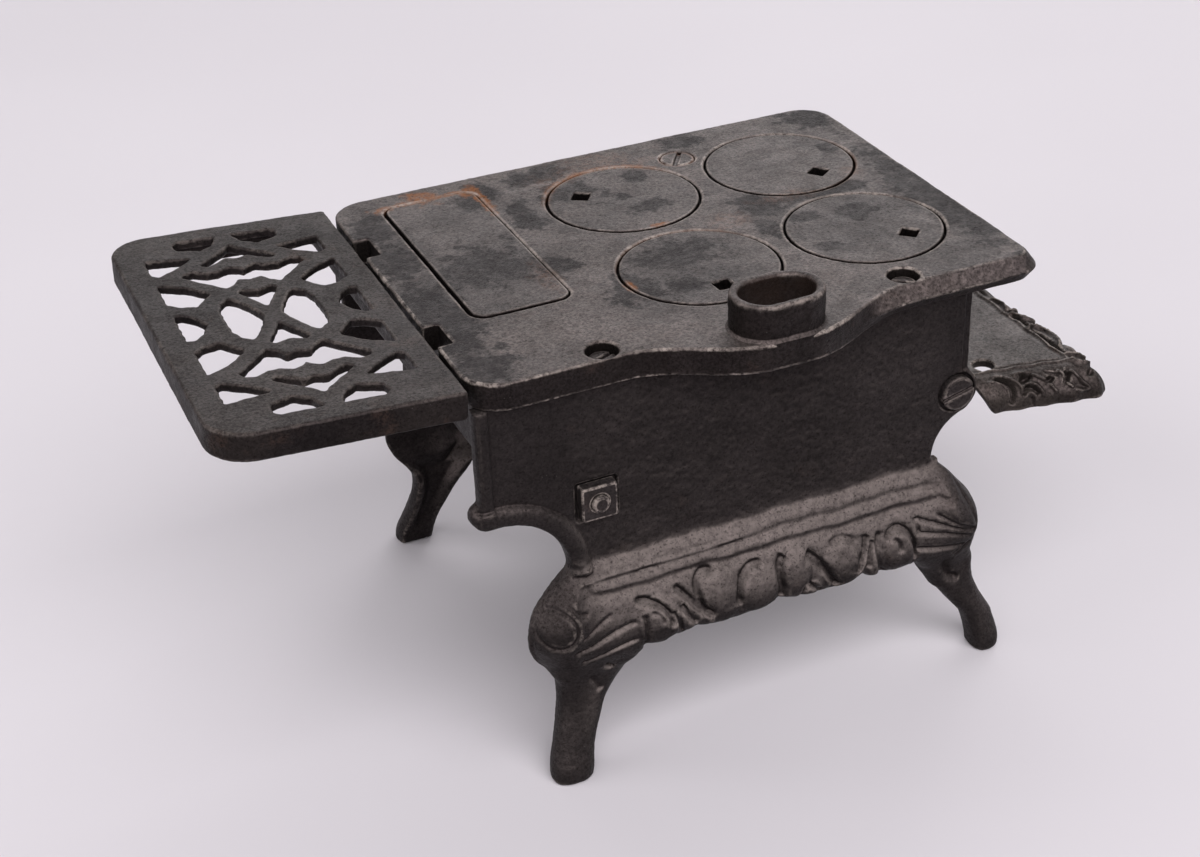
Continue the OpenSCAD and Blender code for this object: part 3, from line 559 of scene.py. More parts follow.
def side_fields(g):
    """Outline, outer face and inner face of a side casting over X and Z, and how much each is leg."""
    x, z = g.x[:, 0, :], g.z[0, :, :]
    # the legs lean a little towards the hearth end, more so on that side; the other knee bulges outward
    lean = 1.3 * between(z, 32, 18)
    ax = np.abs(x + lean)
    hearth_in = np.interp(z, (0, 10, 20, 24, 28, 31, 36), (5.9, 5.3, 2.5, 4.5, 6.3, 6.4, 4.0))
    hearth_out = np.interp(z, (0, 10, 20, 28, 35), (1.9, 3.3, 1.0, 0.8, 0.0))
    hearth_side = hearth_in + (hearth_out - hearth_in) * between(ax, 55, 61)
    knee_swell = 2.2 * between(z, 54, 46) * between(z, 24, 33) * between(x, 44, 52)
    ax = ax - np.where(x < 0, hearth_side * between(z, 45, 36), knee_swell)
    panel = panel_outline(x, z)
    top = SKIRT_TOP + 1
    skirt = np.vstack([[(-30, top), (-30, 34.4)], spline(SKIRT_EDGE), [(46, 36), (50, top)]])
    skirt = polygon(skirt, np.abs(x - SCALLOP_MIDDLE), z)
    leg = polygon(np.vstack([spline(LEG_OUTER), spline(LEG_INNER), [(36.4, 45), (46, 50)]]), ax, z)
    lower = smooth_min(skirt, leg, 0.8)
    outline = smooth_min(panel, lower, 1.0)

    knee_share = between(ax, 45, 52)
    leg_share = between(z, 31, 26)
    panel_share = between(z, 55.0, 57.5)
    wavy = z + 0.28 * np.sin(0.23 * x) + 0.16 * np.sin(0.61 * x + 1.0)
    reach = height_curve(SKIRT_PROFILE, wavy) * (1 - knee_share) + height_curve(KNEE_PROFILE, z) * knee_share
    reach = reach * (1 - leg_share) + height_curve(KNEE_PROFILE, z) * leg_share
    round_r = 2.2 + 6.4 * knee_share
    round_r = round_r * (1 - leg_share) + 4.6 * leg_share
    round_r = round_r * (1 - panel_share) + 0.9 * panel_share
    drop = 1.8 + 8.0 * knee_share * between(z, 54, 46)
    drop = drop * (1 - leg_share) + 3.8 * leg_share
    drop = drop * (1 - panel_share) + 0.7 * panel_share
    edge = 1 - np.clip(-outline / round_r, 0, 1)
    outer = reach - drop * (1 - np.sqrt(np.maximum(1 - edge * edge, 0)))
    outer = outer + scroll_relief(x, z) * between(-outline, 0.1, 1.2)
    outer = outer + 0.55 * np.exp(-((z - 51.6) / 0.5) ** 2) * between(x, -2, 14) * between(ax, 52, 48)

    # rolled border of the large cove, the end bead and the flat strip beside the small cove
    gap = cove_gap(x, z)
    border = 1.9 * np.sqrt(np.maximum(1 - ((gap - 2.4) / 2.7) ** 2, 0)) * between(z, 53.2, 54.6)
    outer = outer + border * between(x, 74.5, 72.0)
    bead = np.sqrt(np.maximum(1 - ((x - 70.1) / 1.9) ** 2, 0)) * between(z, 75, 77)
    strip = 0.7 * between(x, -55.4, -56.2) * between(z, 79.5, 80.6)
    outer = outer + bead - strip

    inner = np.maximum(height_curve(SKIRT_PROFILE, z) - 2.8, PANEL_IN) + 0 * x
    leg_back = height_curve(BACK_PROFILE, z)
    leg_zone = np.maximum(leg_share, between(ax, 40, 48) * (1 - panel_share))
    inner = inner * (1 - leg_zone) + leg_back * leg_zone
    inner = inner + 2.2 * between(-outline, 1.8, 4.6) * leg_share * between(z, 3, 9)
    inner = np.where(z > 57, PANEL_IN, inner)
    outer = np.maximum(outer, inner + 1.5)
    return outline, outer, inner, reach, leg_zone * between(z, 36, 28)


def side_casting(g):
    outline, outer, inner, reach, leg_zone = side_fields(g)
    step = g.step
    slope = np.sqrt(1 + np.gradient(outer, step, axis=0) ** 2 + np.gradient(outer, step, axis=1) ** 2)
    face = (g.y - outer[:, None, :]) / np.minimum(slope, 3.0)[:, None, :]
    back = inner[:, None, :] - g.y
    # the legs curl inwards behind, so their outline shrinks with depth
    depth = np.clip(reach[:, None, :] - 3.2 - g.y, 0, 9)
    curl = leg_zone[:, None, :] * depth * depth / 24
    f = smooth_max(face, outline[:, None, :] + curl, 0.6)
    f = smooth_max(f, back, 0.6)
    f = smooth_max(f, -g.z, 1.0)
    for x in (-50, -28):
        f = np.minimum(f, block(g, (x, x + 4), (PANEL_IN - 3.7, PANEL_IN + 1), (63, 66)))
    return f


def cut_wall_grooves(f, g):
    """The slots behind the panel that hold the inner walls."""
    for x, z in WALL_GROOVES:
        slot = block(g, (x - 1.25, x + 1.25), (PANEL_IN - 2, PANEL_IN + 1.15), (z - 0.05, BAND_Z + 2))
        f = cut_out(f, slot, 0.2)
    return f


def build_rear_casting(material):
    g = Lattice((-69, 44, 0), (76, 64.5, BAND_Z), 0.38)
    f = side_casting(g)
    for x in SCREW_X:
        f = np.minimum(f, slab(disc(g.x, g.y, (x, SCREW_Y - 2.1), 3.2), g.z, BAND_Z - 12, BAND_Z))
    side = NUT + 1.6
    for seat in (centred(g.x, g.z, BOLT_A, (side, side), 0.8), disc(g.x, g.z, BOLT_B, HEAD_R + 0.8)):
        f = cut_out(f, slab(seat, g.y, PANEL_Y - 1, PANEL_Y + 9), 0.4)
    f = cut_wall_grooves(f, g)
    cast("rear_casting", [extract(g, f)], "stove", material, "rear_panel")


def pierce(f, g, xs, zs, r=0.5):
    """Cuts an opening through the panel."""
    opening = rectangle(g.x, g.z, (xs[0], zs[0]), (xs[1], zs[1]), r)
    return cut_out(f, slab(opening, g.y, PANEL_IN - 8, PANEL_Y + 9), 0.5)


def build_front_casting(material):
    """The rear casting's twin, drawn at the rear with its doors' openings and lugs, then mirrored."""
    g = Lattice((-69, 44, 0), (76, 64.5, BAND_Z), 0.42)
    f = side_casting(g)
    f = pierce(f, g, OVEN_X, OVEN_Z)
    f = pierce(f, g, FIRE_X, FIRE_Z)
    for x in (-48.5, -43, -37.5, -32):
        f = pierce(f, g, (x, x + 3.6), ASH_Z, 1.2)
    for hx, zs in ((OVEN_X[1] + 5.3, OVEN_Z), (FIRE_X[0] - 5.3, FIRE_Z)):
        low, high = zs[0] + 5.2, zs[1] - 5.2
        tall = min(4.0, high - low)
        for z0 in (low, high - tall):
            lug = slab(disc(g.x, g.y, (hx, HINGE_Y), 1.9), g.z, z0, z0 + tall, 0.3)
            arm = block(g, (hx - 1.2, hx + 1.2), (PANEL_Y - 0.5, HINGE_Y), (z0, z0 + tall))
            f = smooth_min(f, np.minimum(lug, arm), 0.3)
        f = cut_out(f, slab(disc(g.x, g.y, (hx, HINGE_Y), 0.85), g.z, low - 1, high + 1), 0.1)
    f = cut_wall_grooves(f, g)
    cast("front_casting", [extract(g, f)], "stove", material, "front_panel", mirror=True)


# ---------- side shelf ----------

# Holes in one quarter of the openwork, from the middle of the shelf.
OPENWORK = [
    [(2.7, 0), (4.3, 4.4), (6.4, 9), (7.9, 10.6), (9.7, 9), (10.8, 5.4), (10.9, 0)],
    [(0, 5.4), (1.5, 8.2), (4.2, 13.4), (3.6, 14.2), (1.6, 13.6), (0, 12.8)],
    [(0, 20.4), (1.6, 20.8), (3.2, 21.2), (4.8, 18.6), (6.5, 17.4), (8.6, 19.6), (11.2, 22.5), (14.6, 26.2),
     (14.2, 27.4), (12.2, 28.1), (9, 26.2), (6, 26.3), (3.1, 27.6), (1.4, 26.8), (0, 24.8)],
    [(21.3, 23.4), (16.4, 20.6), (12, 16.3), (11.8, 15), (15.6, 10.2), (19, 11.2), (21.4, 13.2)],
    [(16.1, 0), (18, 4.2), (20.3, 6.4), (21.5, 6.2), (21.5, 0)],
    [(0, 39.8), (2.9, 36.8), (6.6, 33.6), (8.9, 31.3), (8, 30.6), (5.2, 32.2), (3.2, 34), (1.8, 33.8),
     (0, 33.2)],
    [(21.2, 37.6), (16, 36.7), (11.4, 35.9), (12.4, 34.7), (16, 31.8), (20, 29.2), (21.2, 30.2)],
    [(2.5, 46.2), (11.4, 46.2), (12.7, 45.2), (12.3, 42.2), (7.2, 40.2), (4.2, 42.4)],
]


def build_shelf(material):
    g = Lattice((-7, -54, -11), (SHELF_L + 1, 54, 1), 0.38)
    x, y, z = g.x, g.y, g.z
    half = SHELF_W / 2
    outline = rectangle(x, y, (-20, -half), (SHELF_L, half), 10.0)
    outline = smooth_max(outline, -x, 0.8)
    f = slab(outline, z, -BAND_H, 0, 0.8)
    f = cut_out(f, slab(outline + 5, z, -BAND_H - 5, -2.3, 0.5), 0.6)
    ax, ay = np.abs(x - SHELF_L / 2), np.abs(y)
    web = None
    for shape in OPENWORK:
        hole = polygon(np.array(shape, float), ax, ay)
        web = hole if web is None else np.minimum(web, hole)
    web = web - 0.25 + 0.14 * np.sin(1.1 * x + 0.9 * y) * np.cos(0.9 * y - 0.6 * x)
    f = cut_out(f, slab(web + 0.12 * z, z, -20, 10), 0.5)
    for ny in NOTCH_Y:
        for start, rise in ((-6, -0.5), (0, 0.5)):
            tongue = block(g, (start, 4.4), (ny - 4, ny + 4), (-BAND_H - 2.9, -BAND_H + rise), 0.3)
            f = np.minimum(f, tongue)
    points, quads = extract(g, f)
    c, s = math.cos(SHELF_TILT), math.sin(SHELF_TILT)
    px, pz = points[:, 0].copy(), points[:, 2].copy()
    points[:, 0] = SHELF_X + px * c - pz * s
    points[:, 2] = STOVE_H + px * s + pz * c
    cast("side_shelf_casting", [(points, quads)], "side_shelf", material, "side_shelf")


# ---------- hearth apron ----------

ROLL = 8.0
# Relief of the side borders over X and the distance w round the roll: points, width, height.
SIDE_CURLS = [
    ([(-64.2, 4.2), (-66.4, 4.2), (-68.2, 5.4), (-69.1, 6.8), (-69.1, 8.5), (-68.7, 9.9)], 0.35, 0.45),
    ([(-66.6, 3.5), (-69, 4.2), (-70.3, 5.6), (-70.5, 7.6), (-69.9, 9.6), (-69.3, 10.6)], 0.75, -1.5),
    ([(-66.6, 2.6), (-69.4, 3.2), (-71.5, 4.6), (-72.5, 6.2), (-72.7, 8.4)], 0.5, 0.6),
    ([(-73, 8.8), (-73.3, 7.6), (-74.8, 6.9), (-76.3, 7.6), (-77, 9.2)], 0.55, -1.2),
    ([(-72.7, 6.9), (-74.4, 6), (-76.4, 6.3), (-77.5, 7.7), (-78, 9.6)], 0.4, 0.5),
    ([(-73, 10), (-73.8, 8.7), (-74.9, 8.3), (-75.9, 9.2), (-76.2, 10.8)], 0.35, 0.4),
    ([(-75, 9.3), (-75.4, 10.6), (-75.4, 12.2)], 0.4, -0.8),
    ([(-76.2, 3.2), (-77.5, 4.1), (-79.7, 5.9), (-80.9, 8.1), (-81.7, 9.4)], 0.4, 0.6),
    ([(-80.2, 3.4), (-82, 4), (-83.4, 5)], 0.4, -0.8),
    ([(-83.4, 3.2), (-84.6, 5.2), (-84.8, 7.4), (-86, 8.2)], 0.4, 0.6),
    ([(-85.2, 2.9), (-87.1, 4.5), (-88.4, 7.2), (-90, 9.2), (-88, 9.6), (-85.8, 8.8)], 0.45, 0.6),
    ([(-72, 2.8), (-74.2, 2.6), (-76.4, 3.2)], 0.4, 0.5),
]
SIDE_POCKETS = [((-75, 4.2), (2.1, 1.1), 35, -1.5), ((-80.9, 5.6), (1.6, 0.9), 30, -1.3),
                ((-85.4, 5.2), (2.4, 0.8), 62, -1.3), ((-92, 5.2), (1.5, 0.8), 40, -1.1),
                ((-66.4, 7.6), (2.6, 3.6), 0, 0.4), ((-84, 10.4), (5, 2.4), 0, 0.4)]
# The same for the hearth end border, over the distance from the middle and w.
END_CURLS = [
    ([(12, 0.6), (14, 1.4), (17, 2), (19.4, 1.7), (19.9, 3.6), (19.6, 6.2)], 0.45, 0.6),
    ([(21.6, 0.8), (23, 1.2), (24.6, 2.2), (26, 4.2), (26.6, 6.4)], 0.45, 0.6),
    ([(31.8, 0.2), (30.6, 1.4), (30.2, 3), (32.4, 4.4), (35.6, 4.6), (39, 4), (43, 3.2)], 0.5, 0.7),
    ([(46.6, 0.2), (47.2, 2.2), (47.6, 4.8), (48, 7)], 0.4, 0.6),
    ([(48.6, 0.8), (50.6, 1.6), (51.8, 3.8), (51, 6)], 0.5, 0.6),
    ([(4, 4.6), (0, 4), (-4, 4.6)], 0.5, 0.6),
]
END_POCKETS = [((16.4, 3.4), (2.6, 1), 8, -1.1), ((21.8, 3.2), (2.2, 0.9), 24, -1.1),
               ((26.6, 1.6), (3.6, 0.9), 18, -1.3), ((38.6, 1.7), (6.6, 1.1), 2, -1.5),
               ((35, 6.6), (3.2, 1.3), 0, 0.6), ((42.4, 6), (3, 1.3), 0, 0.6),
               ((6, 2.2), (4.2, 0.9), 6, -1.2)]


def relief_table(curls, pockets, a, w):
    h = np.zeros(np.broadcast(a, w).shape, np.float32)
    for points, width, height in curls:
        gap, along, _ = trace(points, a, w)
        height = 1.5 * height if height > 0 else height
        h = h + height * np.exp(-(gap / width / 0.85) ** 2) * ease(np.minimum(along, 1 - along) / 0.15)
    for at, size, turn, height in pockets:
        h = h + 1.3 * height * dome(a, w, at, (1.15 * size[0], 1.15 * size[1]), turn) ** 2
    return h


def look_up(table, low, step, a, b):
    """Value of a table over (a, b), blended between its cells."""
    i = np.clip((a - low[0]) / step, 0, table.shape[0] - 1.001)
    j = np.clip((b - low[1]) / step, 0, table.shape[1] - 1.001)
    i0, j0 = i.astype(int), j.astype(int)
    fi, fj = i - i0, j - j0
    near = table[i0, j0] * (1 - fi) + table[i0 + 1, j0] * fi
    far = table[i0, j0 + 1] * (1 - fi) + table[i0 + 1, j0 + 1] * fi
    return near * (1 - fj) + far * fj


def build_apron(material):
    g = Lattice((-APRON_X - 1.5, -59, APRON_Z - 9), (-53, 59, APRON_Z + 4.5), 0.3)
    x, y = g.x[:, :, 0], g.y[:, :, 0]
    corner = 5.5
    lean = (58.6 - 51.6) / (APRON_X - 61)
    half = 51.6 + (-61 - x) * lean
    qx = -APRON_X - x + corner
    qy = np.abs(y) - half + corner
    outline = np.minimum(np.maximum(qx, qy), 0) + np.hypot(np.maximum(qx, 0), np.maximum(qy, 0)) - corner
    end_share = between(qx - qy, -2.0, 2.0)
    bumps = 0.55 * np.abs(np.sin((np.abs(y) - 9.5) * math.pi / 10.6)) * end_share
    outline = outline + (0.45 - bumps) * end_share
    outline = outline + 0.25 * np.sin(x * 0.9) * (1 - end_share)
    s = -outline[:, :, None]

    inset = ROLL - s
    rise = g.z - (APRON_Z - ROLL)
    around = np.where(inset > 0, np.arctan2(np.maximum(inset, 0), np.maximum(rise, 1e-3)) * ROLL, inset)
    radius = np.where(inset > 0, np.hypot(inset, rise), rise)

    step = 0.25
    w_line = np.arange(-2, 14, step)[None, :]
    x_line = np.arange(-97, -58, step)[:, None]
    y_line = np.arange(-2, 60, step)[:, None]
    side = relief_table(SIDE_CURLS, SIDE_POCKETS, x_line, w_line)
    end = relief_table(END_CURLS, END_POCKETS, y_line, w_line)
    side = look_up(side, (-97, -2), step, x[:, :, None] + 0 * around, around)
    end = look_up(end, (-2, -2), step, np.abs(y)[:, :, None] + 0 * around, around)
    relief = side * (1 - end_share[:, :, None]) + 1.5 * end * end_share[:, :, None]
    channel = 0.35 * (1 - 0.7 * end_share[:, :, None])
    line = 0.45 * np.exp(-((around - 0.2) / 0.45) ** 2) - channel * np.exp(-((around + 0.9) / 0.5) ** 2)
    skin = radius - ROLL - relief - line * between(g.x, -62, -66)
    f = smooth_max(skin, ROLL - 2.4 - radius, 0.4)
    f = smooth_max(f, -rise, 0.8)
    f = smooth_max(f, g.x + 61 + 0.5 * (APRON_Z - g.z) * (around > 0), 0.5)
    f = np.minimum(f, block(g, (-63, -58.6), (-46, 46), (APRON_Z - 2.4, APRON_Z), 0.2))
    for sign in (-1, 1):
        ys = (40, 46) if sign > 0 else (-46, -40)
        f = smooth_min(f, block(g, (-63, BOLT_B[0]), ys, (APRON_Z - 3.4, APRON_Z + 1), 0.4), 0.5)
        f = smooth_min(f, slab(disc(g.x, g.z, BOLT_B, 4.4), g.y, ys[0], ys[1], 0.3), 0.5)
        hole = disc(g.x, g.y, (-68.3, sign * 41.3), 2.6)
        f = cut_out(f, slab(hole, g.z, 60, 90), 0.7)
    f = cut_out(f, slab(disc(g.x, g.z, BOLT_B, BOLT_R + 0.05), g.y, -60, 60), 0.2)
    parts = [extract(g, f)]
    cast("hearth_apron_casting", parts, "stove", material, "hearth_apron", swell=0.06, pits=0.025)


# ---------- fasteners ----------

def slotted(across_a, across_b, along, r, height, slot_turn):
    """Round head along an axis, with a chamfered rim and a screwdriver slot."""
    d = np.hypot(across_a, across_b)
    f = slab(d - r, along, -0.4, height, 0.5)
    c, s = math.cos(math.radians(slot_turn)), math.sin(math.radians(slot_turn))
    u = across_a * c + across_b * s
    v = -across_a * s + across_b * c
    return cut_out(f, slab(rectangle(u, v, (-9, -0.55), (9, 0.55)), along, height - 0.9, height + 2), 0.15)


def build_tie_bolts(material):
    parts = []
    for at, head_side, proud, turn in ((BOLT_A, -1, 2.2, 30), (BOLT_B, 1, 1.2, -14)):
        g = Lattice((at[0] - 5, -56, at[1] - 5), (at[0] + 5, 56, at[1] + 5), 0.3)
        a, b, along = g.x - at[0], g.z - at[1], g.y * head_side - PANEL_Y + (2.2 - proud)
        f = slotted(a, b, along, HEAD_R, 2.2, turn)
        end = PANEL_Y + 3.2
        f = smooth_min(f, slab(np.hypot(a, b) - BOLT_R, -g.y * head_side, -PANEL_Y, end, 0.6), 0.2)
        parts.append(extract(g, f))
    cast("tie_bolts_turned", parts, "stove", material, "tie_bolts", swell=0.02, pits=0.02)


def build_tie_nuts(material):
    parts = []
    for at, low in ((BOLT_A, PANEL_Y - 1), (BOLT_B, -PANEL_Y - 3)):
        g = Lattice((at[0] - 5, low, at[1] - 5), (at[0] + 5, low + 3, at[1] + 5), 0.2)
        f = slab(centred(g.x, g.z, at, (NUT, NUT), 0.4), g.y, low, low + 3, 0.35)
        f = cut_out(f, slab(disc(g.x, g.z, at, BOLT_R + 0.05), g.y, low - 5, low + 9), 0.3)
        parts.append(extract(g, f))
    cast("tie_nuts_forged", parts, "stove", material, "tie_nuts", swell=0.03, pits=0.02)


def build_plate_screws(material):
    parts = []
    for x, turn in zip(SCREW_X, (25, -40)):
        g = Lattice((x - 4, SCREW_Y - 4, 93), (x + 4, SCREW_Y + 4, STOVE_H), 0.2)
        f = slotted(g.x - x, g.y - SCREW_Y, g.z - STOVE_H + SOCKET, 3.3, 1.4, turn)
        f = smooth_min(f, slab(disc(g.x, g.y, (x, SCREW_Y), 1.3), g.z, 93.6, STOVE_H - 3), 0.2)
        parts.append(extract(g, f))
    cast("plate_screws_turned", parts, "stove", material, "rear_plate_screws", swell=0.01, pits=0.02)


def build_front_bolt(material):
    x, y = FRONT_BOLT
    g = Lattice((x - 5, y - 5, 74), (x + 5, y + 5, STOVE_H), 0.25)
    a, b = g.x - x, g.y - y
    f = slotted(a, b, g.z - STOVE_H + BOLT_SINK, HEAD_R, BOLT_SINK, 56)
    f = smooth_min(f, slab(np.hypot(a, b) - BOLT_R, g.z, 75.2, STOVE_H - 2), 0.2)
    parts = [extract(g, f)]
    cast("front_plate_bolt_turned", parts, "stove", material, "front_plate_bolt", swell=0.02, pits=0.02)


# ---------- materials ----------

class Shader:
    """Builds a node material in millimetres of the row frame; colour and shine hold the surface so far."""

    def __init__(self, name):
        self.material = bpy.data.materials.new(name)
        self.material.use_nodes = True
        self.nodes = self.material.node_tree.nodes
        self.links = self.material.node_tree.links
        self.bsdf = self.nodes["Principled BSDF"]
        place = self.nodes.new("ShaderNodeTexCoord").outputs["Object"]
        self.point = self.vector("SCALE", place, 1 / MM)
        self.normal = self.nodes.new("ShaderNodeNewGeometry").outputs["Normal"]

    def feed(self, socket, value):
        if isinstance(value, bpy.types.NodeSocket):
            self.links.new(value, socket)
        else:
            socket.default_value = value

    def math(self, kind, a, b=0.0):
        node = self.nodes.new("ShaderNodeMath")
        node.operation = kind
        self.feed(node.inputs[0], a)
        self.feed(node.inputs[1], b)
        return node.outputs[0]

    def times(self, first, *others):
        """Product of all the values."""
        for other in others:
            first = self.math("MULTIPLY", first, other)
        return first

    def lay(self, share, tint, dull=1.0):
        """Covers a share of the surface with a tint, and dulls its shine there."""
        self.colour = self.mix(share, self.colour, tint)
        if dull < 1:
            self.shine = self.times(self.shine, self.span(share, 0, 1, 1.0, dull))

    def texture(self, kind, scale, shift):
        place = self.nodes.new("ShaderNodeMapping")
        place.inputs["Scale"].default_value = scale
        place.inputs["Location"].default_value = shift
        self.links.new(self.point, place.inputs["Vector"])
        node = self.nodes.new(kind)
        node.inputs["Scale"].default_value = 1.0
        self.links.new(place.outputs[0], node.inputs["Vector"])
        return node

    def noise(self, size, detail=4.0, rough=0.55, stretch=(1, 1, 1), shift=(0, 0, 0)):
        node = self.texture("ShaderNodeTexNoise", [k / size for k in stretch], shift)
        node.inputs["Detail"].default_value = detail
        node.inputs["Roughness"].default_value = rough
        return node.outputs["Fac"]

    def spots(self, size, shift=(0, 0, 0)):
        return self.texture("ShaderNodeTexVoronoi", [1 / size] * 3, shift).outputs["Distance"]

    def span(self, value, low, high, to_low=0.0, to_high=1.0):
        node = self.nodes.new("ShaderNodeMapRange")
        node.interpolation_type = "SMOOTHSTEP"
        self.feed(node.inputs["Value"], value)
        node.inputs["From Min"].default_value = low
        node.inputs["From Max"].default_value = high
        node.inputs["To Min"].default_value = to_low
        node.inputs["To Max"].default_value = to_high
        return node.outputs[0]

    def mix(self, share, a, b):
        node = self.nodes.new("ShaderNodeMix")
        node.data_type = "RGBA"
        self.feed(node.inputs[0], share)
        for socket, value in ((node.inputs[6], a), (node.inputs[7], b)):
            self.feed(socket, value if isinstance(value, bpy.types.NodeSocket) else (*value, 1.0))
        return node.outputs[2]

    def axis(self, vector, name):
        node = self.nodes.new("ShaderNodeSeparateXYZ")
        self.links.new(vector, node.inputs[0])
        return node.outputs[name]

    def vector(self, kind, a, b=None):
        node = self.nodes.new("ShaderNodeVectorMath")
        node.operation = kind
        self.feed(node.inputs[0], a)
        if kind == "SCALE":
            self.feed(node.inputs["Scale"], b)
        elif b is not None:
            self.feed(node.inputs[1], b)
        return node.outputs["Value"] if kind in ("LENGTH", "DOT_PRODUCT") else node.outputs[0]

    def offset(self, centre, stretch=(1, 1, 0)):
        """Level offset from an upright line through the centre, in millimetres of the stove's axes."""
        shift = self.vector("SUBTRACT", self.point, (centre[0] + MIDDLE[0], centre[1] + MIDDLE[1], 0))
        return self.vector("MULTIPLY", shift, stretch)

    def away(self, centre, stretch=(1, 1, 0)):
        return self.vector("LENGTH", self.offset(centre, stretch))

    def rounded(self, centre, size, corner):
        """Distance from an upright wall round a rectangle, negative inside."""
        inner = (size[0] / 2 - corner, size[1] / 2 - corner, 0)
        q = self.vector("SUBTRACT", self.vector("ABSOLUTE", self.offset(centre)), inner)
        outside = self.vector("LENGTH", self.vector("MAXIMUM", q, (0, 0, 0)))
        inside = self.math("MINIMUM", self.math("MAXIMUM", self.axis(q, "X"), self.axis(q, "Y")), 0.0)
        return self.math("SUBTRACT", self.math("ADD", outside, inside), corner)

    def near(self, centre, radius, width):
        """1 along an upright ring, fading to 0 at the given width from it."""
        gap = self.math("ABSOLUTE", self.math("SUBTRACT", self.away(centre), radius))
        return self.span(gap, width, 0.1)

    def ovals(self, marks, soft, wander):
        """1 inside ragged upright ovals given as (x, y, half length, half width) on the stove's axes."""
        ragged = self.noise(4.5, 4, 0.6, shift=(9, 3, 6))
        ragged = self.span(ragged, 0.3, 0.7, 1 - wander * 0.5, 1 + wander * 0.5)
        inside = 0.0
        for x, y, half_x, half_y in marks:
            gap = self.math("MULTIPLY", self.away((x, y), (1 / half_x, 1 / half_y, 0)), ragged)
            inside = self.math("MAXIMUM", inside, self.span(gap, 1 + soft, 1 - soft))
        return inside

    def facing(self, centre, way):
        """1 where the direction from the centre agrees with the given way on the level plane."""
        unit = self.vector("NORMALIZE", self.offset(centre))
        return self.span(self.vector("DOT_PRODUCT", unit, Vector((*way, 0)).normalized()), 0.15, 0.85)

    def bend(self):
        """How sharply a casting bends outward, as stored by mark_edges."""
        node = self.nodes.new("ShaderNodeAttribute")
        node.attribute_name = "edge"
        return node.outputs["Fac"]

    def rounded_edge(self, radius):
        """1 along the edges of a plain mesh, found where a rounded normal leaves the true one."""
        node = self.nodes.new("ShaderNodeBevel")
        node.samples = 4
        node.inputs["Radius"].default_value = radius * MM
        agree = self.vector("DOT_PRODUCT", node.outputs[0], self.normal)
        return self.span(agree, 0.985, 0.90)

    def bump(self, height, distance):
        node = self.nodes.new("ShaderNodeBump")
        node.inputs["Distance"].default_value = distance * MM
        self.feed(node.inputs["Height"], height)
        return node.outputs[0]


# dark for stains, and for painted shade on the top
STAIN_AND_SHADE_DARK = (0.019, 0.016, 0.017)
RUST = (0.210, 0.080, 0.030)
RUST_DARK = (0.060, 0.034, 0.024)
RUST_THIN = (0.120, 0.058, 0.036)
RUST_RING = (0.15, 0.070, 0.042)
BRIGHT_IRON = (0.38, 0.32, 0.29)
DUST = (0.170, 0.142, 0.134)
FLECK = (0.50, 0.46, 0.43)
SHEEN = (1.0, 0.79, 0.77, 1.0)
# near black for dark specks, and for painted shade in creases and gaps
SPECK_AND_SHADE_BLACK = (0.008, 0.006, 0.006)
FLUE_SOOT = (0.017, 0.011, 0.009)

# Marks on the top, as ragged ovals: x, y, half length, half width. Those along the two end margins, 65 mm and
# more from the middle, are painted shade; the rest are stains.
TOP_STAINS_AND_MARGIN_SHADE = [
    (48, -1, 12.5, 12.5), (32, 6, 6, 6), (37.7, -38.3, 5, 5), (32.7, -43.3, 4.5, 5.5), (28.2, -24.4, 4, 9),
    (-2.3, -14.4, 5.5, 4), (1.3, -22.8, 2.2, 2.2), (12.1, -31.7, 8.5, 7), (-6.2, -33.3, 3.5, 3.2),
    (6, 14.4, 12, 9), (9.3, 28.9, 5, 4.4), (-33.4, 10, 4.5, 3.8), (-30.7, 26.7, 3.4, 3), (-46, 12.8, 6, 4.6),
    (-27.3, -1, 6, 7), (-22.9, 10, 3, 6), (-46, -1, 17, 3), (20.4, 25.6, 6, 8), (-26.8, -47.8, 6, 5),
    (-65, -45.6, 7, 7), (16, -45.6, 9, 5), (-68, 12, 6.5, 40), (66, -16, 6.5, 14), (65.4, -34, 6, 9),
    (66.5, 20, 7.5, 26), (67, 45, 7, 8), (-60.7, -25.6, 3, 4),
]
TOP_RUST = [
    (58.8, -45, 2.6, 1.8), (47, -45.7, 13, 1.3), (47.7, -47.4, 4.8, 4.2), (34.3, -38, 1.4, 9),
    (36, -44.6, 2.4, 2.4), (21.2, 24.4, 1.2, 2.6), (0.4, -3.3, 2.4, 1.0),
]
TOP_RUST_FAINT = [
    (36.6, 10, 3, 6.5), (13.8, -40.4, 5.5, 2.8), (-9.6, -41.2, 5.5, 2.8), (-1.8, -46.5, 9, 5),
    (-16, 3.3, 5, 4), (-36, -3.4, 7, 3), (1.8, -43.6, 13, 2.4), (-58, -8, 3, 4),
]
# Broad faint ovals of painted shade on the top: x, y, half length, half width.
TOP_PAINTED_SHADE = [
    (-43.7, 22, 18.5, 18.5), (4, 17, 17, 14), (-26, 5, 7, 12), (64, -8, 8, 42), (-66, 10, 9, 44),
    (47, 3, 12, 13), (-54, 46, 16, 9),
]
# Rust round the lids and the bolt: centre, radius, width, strength, and the way each arc faces.
LID_ARCS = [
    ((1.8, -22.0), 20.0, 1.9, 0.95, (0.15, -1.0)), ((-43.7, -22.0), 20.0, 1.0, 0.4, (-0.6, 0.8)),
    ((1.8, 22.0), 20.0, 0.8, 0.3, (0.2, -1.0)),
]
BOLT_RING = ((-21.2, -37.9), 4.6, 0.9, 0.7)


